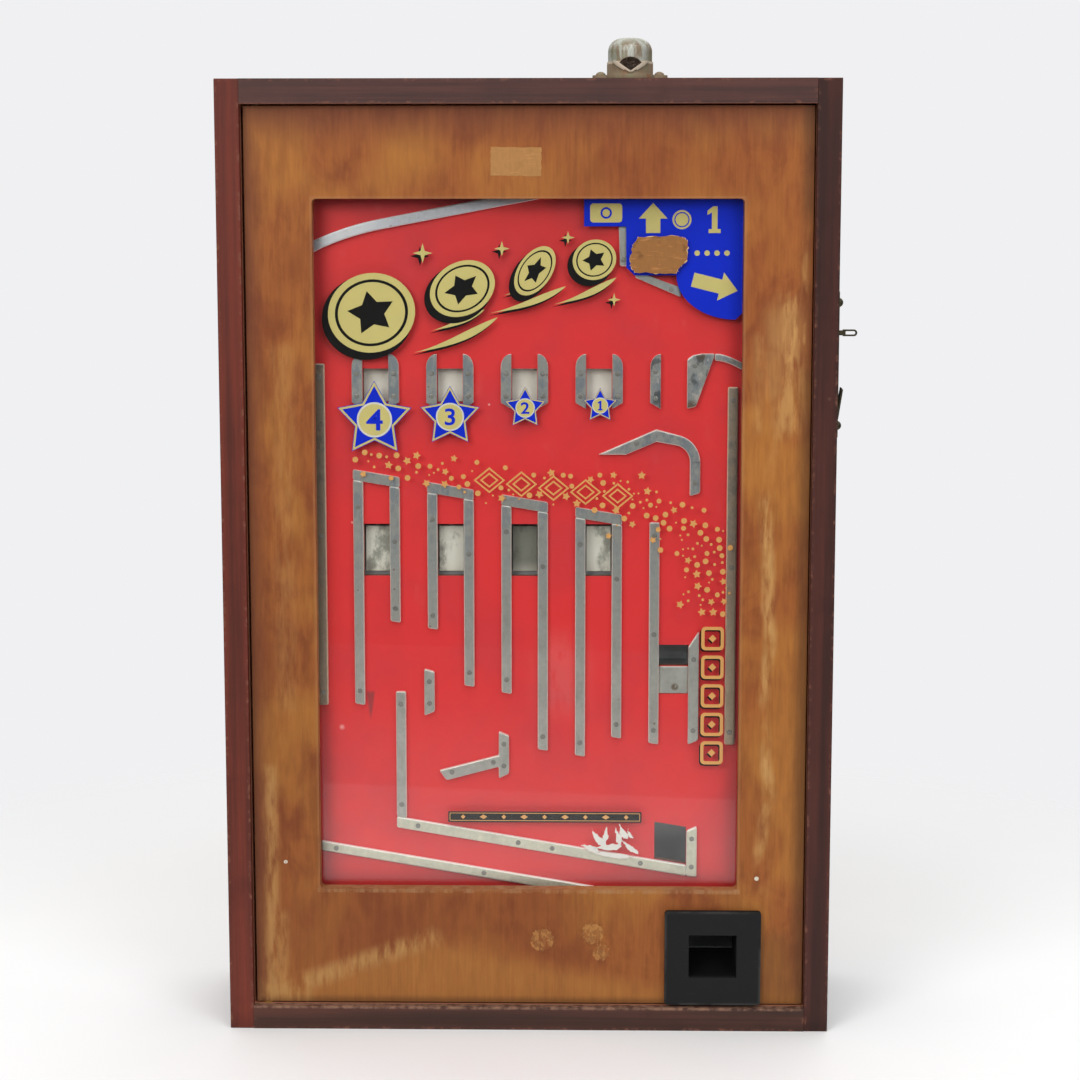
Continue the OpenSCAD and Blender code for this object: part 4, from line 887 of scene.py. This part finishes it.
class ARCADE_OT_stage(bpy.types.Operator):
    """Makes the floor, the room's light, the lamps and the camera"""

    bl_idname = "arcade.stage"
    bl_label = "Stage"

    lamps = (("top", (0.0, -1.1, 2.4), 1.4, (1.0, 1.0, 1.0)),
             ("key", (-1.3, -2.4, 1.6), 1.5, (1.0, 0.985, 0.96)),
             ("fill", (1.5, -2.4, 1.4), 1.6, (0.97, 0.985, 1.0)),
             ("back", (0.6, 2.2, 2.2), 1.8, (1.0, 1.0, 1.0)))
    aim = Vector((0.0, 0.0, 0.45))
    floor_back, floor_half, dim_deep = 1.4, 1.5, 1.1
    sensor = 36.0

    def execute(self, context):
        look = look_of("stage")
        self.make_floor(look)
        self.make_room(context.scene)
        for name, place, size, tint in self.lamps:
            self.make_lamp(name + "_light", place, size, getattr(look, name + "_power"), tint)
        camera = link("camera", bpy.data.cameras.new("camera"))
        camera.location = look.camera_place
        camera.rotation_euler = look.camera_turn
        camera.data.sensor_width = self.sensor
        camera.data.lens = look.lens
        context.scene.camera = camera
        context.scene.view_settings.view_transform = "Standard"
        return {"FINISHED"}

    def make_floor(self, look):
        """A pale sheet under the machine, and a dim one before it that only the glass mirrors."""
        front = CAD_LOW.y - look.floor_front
        edge = (front, look.floor_slant)
        paper, dim = (Finish(name, linear(235, 235, 235)) for name in ("floor_paper", "dim_paper"))
        # Painted shade: the floor is painted darker towards the front.
        paper.shade((0.97 + paper.noise(3, 3) * 0.06) * (0.6 + paper.y.between(-0.98, -0.58) * 0.4))
        sheet = paper.node("BsdfPrincipled", None, {"Base Color": paper.tone, "Roughness": 0.8})
        fade = paper.away(paper.x, paper.y).between(0.55, 1.3) * paper.y.between(-0.5, 0.1)
        clear = paper.node("BsdfTransparent")
        paper.end(paper.node("MixShader", None, {0: fade, 1: sheet, 2: clear}))
        self.lay_sheet("floor", edge, (self.floor_back, 0.0), paper.material)
        ahead = dim.y - dim.x * look.floor_slant - front
        dim.shade((0.05 + ahead.between(-0.75, 0.1) * 0.3) * (0.97 + dim.noise(3, 3) * 0.06))
        near = (front - self.dim_deep, look.floor_slant)
        before = self.lay_sheet("dim_floor", near, edge, dim.surface(0.8))
        before.visible_camera = False
        before.visible_diffuse = False
        before.visible_shadow = False

    def lay_sheet(self, name, near, far, material):
        """A flat sheet between two lines across the ground, each a Y at the middle and a slope."""
        cuts = 24
        shape = bmesh.new()
        bmesh.ops.create_grid(shape, x_segments=cuts, y_segments=cuts, size=1.0)
        for vert in shape.verts:
            x = self.floor_half * vert.co.x
            start, end = (line[0] + line[1] * x for line in (near, far))
            vert.co = (x, start + (end - start) * (vert.co.y + 1.0) / 2, 0.0)
        sheet = link(name, mesh_from(name, shape))
        sheet.data.materials.append(material)
        return sheet

    def make_room(self, scene):
        """Pale where the camera sees it, and a soft dome that is dim ahead of the glass."""
        world = bpy.data.worlds.new("room")
        world.use_nodes = True
        room = Nodes(world.node_tree)
        ways = room.node("SeparateXYZ", None, {0: room.node("TexCoord").output("Generated")})
        behind, up = ways.output("Y"), ways.output("Z")
        rear = behind.between(-0.1, 0.6) * up.between(-0.2, 0.1)
        glow = 0.05 + up.between(0.12, 0.7) * 0.74 + rear * 0.45
        dome = room.node("Background", None, {"Color": (1.0, 1.0, 1.0, 1.0), "Strength": glow})
        seen = room.node("Background", None, {"Color": rgba(linear(240, 240, 242)), "Strength": 1.0})
        watched = room.node("LightPath").output("Is Camera Ray")
        both = room.node("MixShader", None, {0: watched, 1: dome, 2: seen})
        room.node("OutputWorld", None, {"Surface": both})
        scene.world = world

    def make_lamp(self, name, place, size, watts, tint):
        lamp = bpy.data.lights.new(name, "AREA")
        lamp.shape = "DISK"
        lamp.size = size
        lamp.energy = watts
        lamp.color = tint
        holder = link(name, lamp)
        holder.location = place
        holder.rotation_euler = (self.aim - holder.location).to_track_quat("-Z", "Y").to_euler()


class ARCADE_OT_boards(bpy.types.Operator):
    """Finishes the cabinet boards and the bare wood behind"""

    bl_idname = "arcade.boards"
    bl_label = "Cabinet boards"

    upright, level = 2, 0
    # Tints: partly stain, partly painted light, the left board painted lighter and the right board darker as
    # if lit from the left.
    boards = (("left_side", upright, (1.04, 0.64, 0.54), 0.0), ("right_side", upright, (0.5, 0.48, 0.5), 0.0),
              ("top_board", level, (0.68, 0.9, 1.05), 0.0), ("bottom_board", level, (0.6, 0.74, 0.74), 0.65))

    def execute(self, context):
        for name, along, tint, pale_top in self.boards:
            dress(stained_board(name, along, tint, pale_top), name)
        dress(bare_wood(), *BARE_WOOD)
        ease_edges(BOARD_EDGE, *BOARDS)
        ease_edges(BATTEN_EDGE, "back_battens", "field_ledgers")
        return {"FINISHED"}


class ARCADE_OT_door(bpy.types.Operator):
    """Finishes the door's oak and its glazing beads"""

    bl_idname = "arcade.door"
    bl_label = "Door"

    def execute(self, context):
        dress(door_oak(), "door_panel", "glass_beads")
        ease_edges(DOOR_EDGE, "door_panel")
        return {"FINISHED"}


class ARCADE_OT_glass(bpy.types.Operator):
    """Finishes the sheet of glass"""

    bl_idname = "arcade.glass"
    bl_label = "Window glass"

    def execute(self, context):
        dress(sheet_glass(), "window_glass")
        return {"FINISHED"}


class ARCADE_OT_playfield(bpy.types.Operator):
    """Paints the playfield and the rockers behind it"""

    bl_idname = "arcade.playfield"
    bl_label = "Playfield and rockers"

    def execute(self, context):
        dress(playfield_paint(), "playfield")
        dress(rocker_finish(), *ROCKERS)
        ease_edges(PLATE_EDGE, *ROCKERS)
        return {"FINISHED"}


class ARCADE_OT_strips(bpy.types.Operator):
    """Finishes the metal strips on the playfield"""

    bl_idname = "arcade.strips"
    bl_label = "Playfield strips"

    # Lower strips painted paler as a painted reflection of the pale floor; side strips darker and browner, as
    # tarnish and painted shade from the door's edge; the arch paler and bluer, as a painted highlight.
    finishes = (("strip_metal", 1.0, 0.85, RAILS), ("clean_strip", (1.3, 1.3, 1.14), 0.6, FLOOR_REFLECTION_RAILS),
                ("dirty_strip", (0.9, 0.74, 0.6), 0.7, ("side_rails",)),
                ("pale_strip", (1.16, 1.2, 1.38), 0.7, ("top_arch_rail",)))

    def execute(self, context):
        for name, tint, metallic, rails in self.finishes:
            dress(strip_metal(name, times(look_of("metal").strip, tint), metallic), *rails)
        ease_edges(STRIP_EDGE, *RAILS)
        return {"FINISHED"}


class ARCADE_OT_screws(bpy.types.Operator):
    """Puts slotted heads in place of the plain strip screws"""

    bl_idname = "arcade.screws"
    bl_label = "Strip screws"

    disc = circle(20)
    floor_share, shoulder_share = 0.3, 0.35
    side, crown = 0.98, 0.72

    def execute(self, context):
        look = look_of("metal")
        chance = random.Random(look_of("print").seed)
        heads, rings = bmesh.new(), bmesh.new()
        for box in self.boxes():
            self.slotted_head(heads, box, math.degrees(chance.uniform(0, math.pi)), look.slot_width)
            self.dirt_ring(rings, box)
        steel = plated_steel("screw_steel", times(look.steel, (0.8, 0.76, 0.68)))
        piece = self.add("strip_screw_heads", heads, steel)
        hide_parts("rail_screws")
        self.add("strip_screw_dirt", rings, screw_dirt())
        return {"FINISHED"}

    def add(self, name, shape, material):
        bmesh.ops.recalc_face_normals(shape, faces=shape.faces)
        return put(name, mesh_from(name, shape), material, "cabinet")

    def boxes(self):
        """The box of each separate screw in the CAD node."""
        shape = bmesh.new()
        shape.from_mesh(NODES["rail_screws"].data)
        bmesh.ops.remove_doubles(shape, verts=shape.verts, dist=SEAM)
        left = set(shape.verts)
        boxes = []
        while left:
            reached = [left.pop()]
            for vert in reached:
                for edge in vert.link_edges:
                    other = edge.other_vert(vert)
                    if other in left:
                        left.remove(other)
                        reached.append(other)
            boxes.append(box_of([vert.co for vert in reached]))
        shape.free()
        return sorted(boxes, key=lambda box: tuple(box[0]))

    def ring(self, shape, box, depth, points, turn=0.0):
        """Corners at one depth. The points are in radii of the screw."""
        low, high = box
        middle = (low + high) / 2
        radius = (high.x - low.x) / 2
        scaled = [(a * radius, b * radius) for a, b in points]
        return [shape.verts.new((x, depth, z)) for x, z in placed(scaled, middle.x, middle.z, turn)]

    def join(self, shape, rings, capped):
        """Faces from ring to ring, with both ends capped or the last ring joined to the first."""
        for near, far in zip(rings, rings[1:] if capped else rings[1:] + rings[:1]):
            for i in range(len(near)):
                j = (i + 1) % len(near)
                shape.faces.new((near[i], near[j], far[j], far[i]))
        if capped:
            shape.faces.new(rings[0])
            shape.faces.new(rings[-1][::-1])

    def dirt_ring(self, shape, box):
        """A thin ring of old dirt round a head, on the strip."""
        strip = box[1].y
        profile = ((1.02, strip - 0.25 * MM), (1.16, strip - 0.1 * MM), (1.16, strip), (1.02, strip))
        rings = [self.ring(shape, box, depth, [(a * reach, b * reach) for a, b in self.disc])
                 for reach, depth in profile]
        self.join(shape, rings, False)

    def slotted_head(self, shape, box, turn, slot):
        """A head of two raised halves over a thin disc, so that the slot is a real groove."""
        low, high = box
        floor = high.y - (high.y - low.y) * self.floor_share
        shoulder = low.y + (floor - low.y) * self.shoulder_share
        solids = [((high.y, self.disc), (floor, self.disc))]
        gap = slot / (high.x - low.x)
        start = math.degrees(math.asin(gap))
        for sign in (1, -1):
            half = [(a, sign * b) for a, b in arc(0, 0, self.side, start, 180 - 2 * start, 10)]
            inner = [(a * self.crown, sign * max(abs(b) * self.crown, gap)) for a, b in half]
            solids.append(((floor, half), (shoulder, half), (low.y, inner)))
        for levels in solids:
            self.join(shape, [self.ring(shape, box, depth, points, turn) for depth, points in levels], True)


class ARCADE_OT_metalwork(bpy.types.Operator):
    """Finishes the coin hood, the brass and the steel of the mechanism"""

    bl_idname = "arcade.metalwork"
    bl_label = "Hood and mechanism"

    def execute(self, context):
        look = look_of("metal")
        dress(worn_nickel(), *HOOD)
        dress(dull_brass(), *BRASS)
        dress(plated_steel("mechanism_steel", look.steel), *STEEL)
        dress(plated_steel("old_steel", look.old_steel), *OLD_STEEL)
        ease_edges(PLATE_EDGE, "side_plate", "flick_lever")
        return {"FINISHED"}


class ARCADE_OT_hood_cup(bpy.types.Operator):
    """Puts a cup with a pointed mouth in place of the one with a flat mouth"""

    bl_idname = "arcade.hood_cup"
    bl_label = "Hood cup"

    mouth_half, mouth_flat, mouth_deep = 12.55, 4.8, 9.1
    lip_half, lip_flat, lip_deep = 16.6, 6.12, 11.3
    near = 0.05

    def execute(self, context):
        low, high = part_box("hood_cup")
        middle = (low + high) / 2
        mesh = NODES["hood_cup"].data.copy()
        for vert in mesh.vertices:
            across = abs(vert.co.x - middle.x) / MM
            under = (high.z - vert.co.z) / MM
            mouth = self.drop(across, self.mouth_half, self.mouth_flat, self.mouth_deep)
            lip = self.drop(across, self.lip_half, self.lip_flat, self.lip_deep)
            if vert.co.y < middle.y and min(abs(under - mouth), abs(under - lip)) < self.near:
                vert.co.z += (mouth - self.drop(across, self.mouth_half, 0.0, self.mouth_deep)) * MM
        piece = put("hood_cup_pointed", mesh, bpy.data.materials["worn_nickel"], "cabinet")
        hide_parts("hood_cup")
        ease_edges(PLATE_EDGE, piece)
        return {"FINISHED"}

    def drop(self, across, half, flat, deep):
        """How far an edge lies under the rim: deep along its flat middle, and 0 at half its width."""
        return deep * min(max((half - across) / (half - flat), 0.0), 1.0)


class ARCADE_OT_springs(bpy.types.Operator):
    """Puts copies of the lever and hood springs, each on its own mesh, in place of the CAD springs"""

    bl_idname = "arcade.springs"
    bl_label = "Springs"

    # The hood spring takes the hood's finish, so that inside the cap it gets the hood's painted light and
    # hides against it.
    springs = (("lever_spring", "flick_hinge", 0.24, "mechanism_steel"),
               ("hood_spring", "reject_slide", 0.84, "worn_nickel"))

    def execute(self, context):
        for name, joint, keep, finish in self.springs:
            coil = NODES[name].data.copy()
            piece = put(name + "_coil", coil, bpy.data.materials[finish], "cabinet")
            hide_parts(name)
            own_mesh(piece)
        return {"FINISHED"}


class ARCADE_OT_payout_cup(bpy.types.Operator):
    """Finishes the black payout cup"""

    bl_idname = "arcade.payout_cup"
    bl_label = "Payout cup"

    def execute(self, context):
        dress(black_moulding(), "payout_cup")
        ease_edges(BOARD_EDGE, "payout_cup")
        return {"FINISHED"}


class ARCADE_OT_stars(bpy.types.Operator):
    """Prints the four prize stars with plain numbers"""

    bl_idname = "arcade.stars"
    bl_label = "Prize stars"

    places = ((4, -141.2, 570.4, 36.0), (3, -71.9, 573.2, 28.7),
              (2, -3.0, 581.4, 19.7), (1, 65.6, 583.7, 16.3))
    layers = (("", star, 0.86, 3, "blue"), ("_outline", star, 0.97, 4, "cream"),
              ("_rim", star, 1.0, 5, "blue"), ("_disc_rim", ellipse, 0.45, 2, "white"),
              ("_disc", ellipse, 0.4, 1, "cream"))
    digit = 0.54

    def execute(self, context):
        for prize, x, z, tip in self.places:
            name = "prize_star_%d" % prize
            for suffix, shape, share, layer, ink in self.layers:
                printed(name + suffix, [shape(x, z, tip * share)], layer, ink)
            numeral(name + "_number", prize, x, z, tip * self.digit, 0, "blue")
        return {"FINISHED"}


class ARCADE_OT_corner_panel(bpy.types.Operator):
    """Prints the blue corner panel with its plain signs"""

    bl_idname = "arcade.corner_panel"
    bl_label = "Corner panel"

    def execute(self, context):
        left, right, top = 50.5, 194.4, 770.4
        start, wide, low, high = right - 6, 54, 662, 40
        hollow = [(start - wide * b, low + high * (1 - a)) for a, b in arc(0, 0, 1, 0, 90, 12)]
        foot = [(96, 702), (89, 709), (88.6, 746), (left, 746)]
        printed("corner_panel", [[(left, top), (right, top), (right, 668), *hollow, *foot]], 2, "blue")
        button = [tablet(56, 85, 749.5, 766.5, 3), *(ellipse(70.5, 758, radius) for radius in (5.2, 3.4))]
        signs = (("button_sign", button),
                 ("slot_sign", [arrow(113, 767, 27, 6.5, 14, 13, 90)]),
                 ("coin_sign", [ellipse(139, 752, radius) for radius in (8.6, 6.9, 5.8)]),
                 ("lever_sign", [arrow(190, 688, 42, 6.5, 16, 13, -14)]),
                 ("panel_dots", [ellipse(x, 722, 2.5) for x in (153, 162, 171, 180)]))
        for name, loops in signs:
            printed(name, loops, 1, "cream")
        numeral("price_number", 1, 168, 752, 24, 1, "cream")
        return {"FINISHED"}


class ARCADE_OT_flying_coins(bpy.types.Operator):
    """Prints the row of flying coins with their black shadows"""

    bl_idname = "arcade.flying_coins"
    bl_label = "Flying coins"

    coins = ((-143, 668, 40, 36, 12), (-60, 690, 31, 24, 28), (6, 706, 25, 15, 55), (60, 716, 20, 18, 20))
    strokes = (((-104, 632), (-28, 664), -4, 7), ((-88, 652), (-40, 671), -2, 5),
               ((-34, 668), (34, 692), -3, 6), ((-22, 684), (12, 697), -1, 4), ((24, 676), (80, 700), -3, 6))
    sparks = ((-96, 722, 9), (-24, 726, 7), (36, 736, 6), (78, 680, 6))
    shadow, line_shadow = (-4.0, -4.5), (-2.4, -2.7)
    rings, emblem, ground, shadow_wide, shadow_high = (1.0, 0.84, 0.77), 0.56, 0.99, 1.04, 1.06

    def execute(self, context):
        for number, (x, z, wide, high, turn) in enumerate(self.coins, 1):
            name = "flying_coin_%d" % number
            face = [ellipse(x, z, wide * share, high * share, turn) for share in self.rings]
            points = star(0, 0, wide * self.emblem)
            emblem = placed([(a, b * high / wide) for a, b in points], x, z, turn)
            ground = ellipse(x, z, wide * self.ground, high * self.ground, turn)
            shadow = ellipse(x, z, wide * self.shadow_wide, high * self.shadow_high, turn)
            printed(name, [*face, emblem], 0, "cream")
            printed(name + "_ground", [ground], 1, "black")
            printed(name + "_shadow", [placed(shadow, *self.shadow)], 2, "black")
        lines = [streak(*stroke) for stroke in self.strokes]
        lines += [star(x, z, tip, 0.3, 4) for x, z, tip in self.sparks]
        printed("speed_lines", lines, 3, "cream")
        printed("speed_line_shadows", [placed(loop, *self.line_shadow) for loop in lines], 4, "black")
        return {"FINISHED"}


LOZENGES = tuple((-36 + 29.5 * i, 515 - 3.6 * i) for i in range(5))


class ARCADE_OT_gold_trail(bpy.types.Operator):
    """Prints the trail of gold dots and small stars"""

    bl_idname = "arcade.gold_trail"
    bl_label = "Gold trail"

    route = ((-159, 538), (-26, 509), (66, 504), (121, 488), (176, 441), (172, 390))
    sizes = (0.9, 1.3, 2.3, 2.7, 2.7, 3.5, 4.0)
    tries, limit, gap, right_end, star_size = 1500, 156, 1.9, 186, 3
    narrow, widening = 5, 9
    keep_wide, keep_high = 17, 14.5

    def execute(self, context):
        chance = random.Random(look_of("print").seed)
        marks = []
        taken = []
        for _ in range(self.tries):
            t = chance.uniform(0, len(self.route) - 1.001)
            step = int(t)
            (x0, z0), (x1, z1) = self.route[step:step + 2]
            spread = chance.gauss(0, self.narrow + self.widening * t / (len(self.route) - 1))
            run = math.hypot(x1 - x0, z1 - z0)
            x = x0 + (x1 - x0) * (t - step) - (z1 - z0) / run * spread
            z = z0 + (z1 - z0) * (t - step) + (x1 - x0) / run * spread
            size = chance.choice(self.sizes)
            clear = all(math.hypot(x - a, z - b) > size + c + self.gap for a, b, c in taken)
            inside = any(abs(x - a) / self.keep_wide + abs(z - b) / self.keep_high < 1 for a, b in LOZENGES)
            if x > self.right_end or inside or not clear or len(taken) >= self.limit:
                continue
            taken.append((x, z, size))
            if size > self.star_size:
                marks.append(star(x, z, size, turn=chance.uniform(0, 72)))
            else:
                marks.append(ellipse(x, z, size, count=10))
        printed("gold_trail", marks, 1, "gold")
        return {"FINISHED"}


class ARCADE_OT_outlined_marks(bpy.types.Operator):
    """Prints the row of gold lozenges and the column of gold frames"""

    bl_idname = "arcade.outlined_marks"
    bl_label = "Outlined marks"

    outlines = ((14.5, 12), (12.2, 10), (8.6, 7), (6.3, 5.1))
    frame_x, frame_top, frame_pitch = 170.5, 368, 27
    frames = ((10.5, 11, 4), (7.5, 8, 2))
    middle = 3.6
    shadow = (-1.2, -1.4)

    def execute(self, context):
        row = [ellipse(x, z, wide, high, count=4) for x, z in LOZENGES for wide, high in self.outlines]
        column = []
        x = self.frame_x
        for i in range(5):
            z = self.frame_top - self.frame_pitch * i
            column += [tablet(x - a, x + a, z - b, z + b, radius) for a, b, radius in self.frames]
            column.append(ellipse(x, z, self.middle, count=4))
        printed("lozenge_row", row, 0, "gold")
        printed("frame_column", column, 0, "gold")
        printed("frame_column_shadow", [placed(loop, *self.shadow) for loop in column], 1, "black")
        return {"FINISHED"}


class ARCADE_OT_black_bar(bpy.types.Operator):
    """Prints the black bar with its gold line and lozenges"""

    bl_idname = "arcade.black_bar"
    bl_label = "Black bar"

    x0, x1, z0, z1 = -75.5, 105.7, 192.8, 203.2
    first, pitch, count = 14, 19.1, 9
    halves, high = (2.2, 3.6), 2.2

    def execute(self, context):
        z = (self.z0 + self.z1) / 2
        printed("black_bar", [self.inset(0.0, 0.8)], 1, "black")
        marks = [self.inset(1.4, 0.8), self.inset(2, 0.6)]
        for i in range(self.count):
            x = self.x0 + self.first + self.pitch * i
            marks.append(ellipse(x, z, self.halves[i % 2], self.high, count=4))
        printed("black_bar_lines", marks, 0, "gold")
        return {"FINISHED"}

    def inset(self, gap, radius):
        return tablet(self.x0 + gap, self.x1 - gap, self.z0 + gap, self.z1 - gap, radius, 2)


class ARCADE_OT_paint_flakes(bpy.types.Operator):
    """Leaves torn flakes of off-white paint on the back of the glass"""

    bl_idname = "arcade.paint_flakes"
    bl_label = "Paint flakes"

    strokes = (((49, 172), (66, 165), 6.0), ((59, 187), (74, 169), 6.4), ((73, 189), (70, 173), 4.6),
               ((62, 168), (88, 170), 6.0), ((81, 188), (86, 171), 5.4), ((85, 192), (93, 177), 5.6),
               ((54, 165), (96, 160), 5.0), ((87, 176), (103, 163), 5.2), ((93, 188), (98, 178), 3.4))
    bow, jag = 2, 0.7

    def execute(self, context):
        look = look_of("print")
        chance = random.Random(look.seed + 2)
        paint = ink_finish("flaked_paint", look.flake)
        for number, (start, end, width) in enumerate(self.strokes, 1):
            name = "paint_flake_%d" % number
            loop = streak(start, end, chance.uniform(-self.bow, self.bow), width, 12)
            torn = [tuple(place + chance.uniform(-self.jag, self.jag) for place in point) for point in loop]
            put(name, plate(name, [torn], ink_front(number % 3), look.layer), paint, "door")
        return {"FINISHED"}


class ARCADE_OT_papers(bpy.types.Operator):
    """Sticks the paper tape on the door and the brown scrap on the glass"""

    bl_idname = "arcade.papers"
    bl_label = "Paper tape and scrap"

    tape = ((-33.4, 790.8), (12.0, 790.2), (12.2, 815.8), (-33.2, 816.0))
    scrap = ((92, 711), (97, 704.5), (134, 704), (137, 708), (143.5, 716), (143.7, 733), (139, 737),
             (100, 736.5), (94, 728))
    scrap_middle = 118
    thick = 0.18 * MM
    scrap_lift, backing = 1.8, 0.6

    def execute(self, context):
        look = look_of("print")
        chance = random.Random(look.seed + 4)
        tape = self.ragged(self.tape, 0.35, 14, chance)
        self.stick("paper_tape", tape, DOOR_LOW.y - self.thick, self.thick,
                   paper_finish("tape_paper", look.paper, shift=1.0, wear=0.25))
        scrap = self.ragged(self.scrap, 0.9, 8, chance)
        self.stick("brown_scrap", scrap, GLASS_LOW.y - self.thick * self.scrap_lift, self.thick,
                   paper_finish("brown_paper", look.scrap, shift=5.0, wear=0.75))
        backing = [(x + chance.uniform(-0.3, 0.9) * (1 if x > self.scrap_middle else -1),
                    z + chance.uniform(-0.9, 0.9)) for x, z in scrap]
        thin = self.thick * self.backing
        self.stick("torn_backing", backing, GLASS_LOW.y - thin, thin,
                   paper_finish("torn_paper", linear(226, 186, 132), shift=9.0, wear=0.4))
        return {"FINISHED"}

    def stick(self, name, loop, front, thick, material):
        put(name, plate(name, [loop], front, thick), material, "door")

    def ragged(self, corners, amount, steps, chance):
        """An outline whose sides waver as a torn edge does."""
        loop = []
        for (x0, z0), (x1, z1) in zip(corners, corners[1:] + corners[:1]):
            for i in range(steps):
                t = i / steps
                loop.append((x0 + (x1 - x0) * t + chance.uniform(-amount, amount),
                             z0 + (z1 - z0) * t + chance.uniform(-amount, amount)))
        return loop


OPERATORS = (
    ARCADE_OT_stage, ARCADE_OT_boards, ARCADE_OT_door, ARCADE_OT_glass, ARCADE_OT_playfield, ARCADE_OT_strips,
    ARCADE_OT_screws, ARCADE_OT_metalwork, ARCADE_OT_hood_cup, ARCADE_OT_springs, ARCADE_OT_payout_cup,
    ARCADE_OT_stars, ARCADE_OT_corner_panel, ARCADE_OT_flying_coins, ARCADE_OT_gold_trail,
    ARCADE_OT_outlined_marks, ARCADE_OT_black_bar, ARCADE_OT_paint_flakes, ARCADE_OT_papers,
)
LOOKS = {"wood_look": WoodLook, "metal_look": MetalLook, "paint_look": PaintLook,
         "print_look": PrintLook, "stage_look": StageLook}


class ARCADE_PT_machine(bpy.types.Panel):
    """Lists the looks and the steps of the machine"""

    bl_idname = "ARCADE_PT_machine"
    bl_label = "Penny arcade machine"
    bl_space_type = "VIEW_3D"
    bl_region_type = "UI"
    bl_category = "Arcade"

    def draw(self, context):
        for name, group in LOOKS.items():
            box = self.layout.box()
            box.label(text=group.__doc__)
            for key in group.__annotations__:
                box.prop(getattr(context.scene, name), key)
        for operator in OPERATORS:
            self.layout.operator(operator.bl_idname)


def register():
    for made in (*LOOKS.values(), *OPERATORS, ARCADE_PT_machine):
        bpy.utils.register_class(made)
    for name, group in LOOKS.items():
        setattr(bpy.types.Scene, name, PointerProperty(type=group))


def unregister():
    for name in LOOKS:
        delattr(bpy.types.Scene, name)
    for made in (ARCADE_PT_machine, *reversed(OPERATORS), *reversed(LOOKS.values())):
        bpy.utils.unregister_class(made)


def main():
    register()
    for operator in OPERATORS:
        group, name = operator.bl_idname.split(".")
        getattr(getattr(bpy.ops, group), name)()


if __name__ == "__main__":
    main()
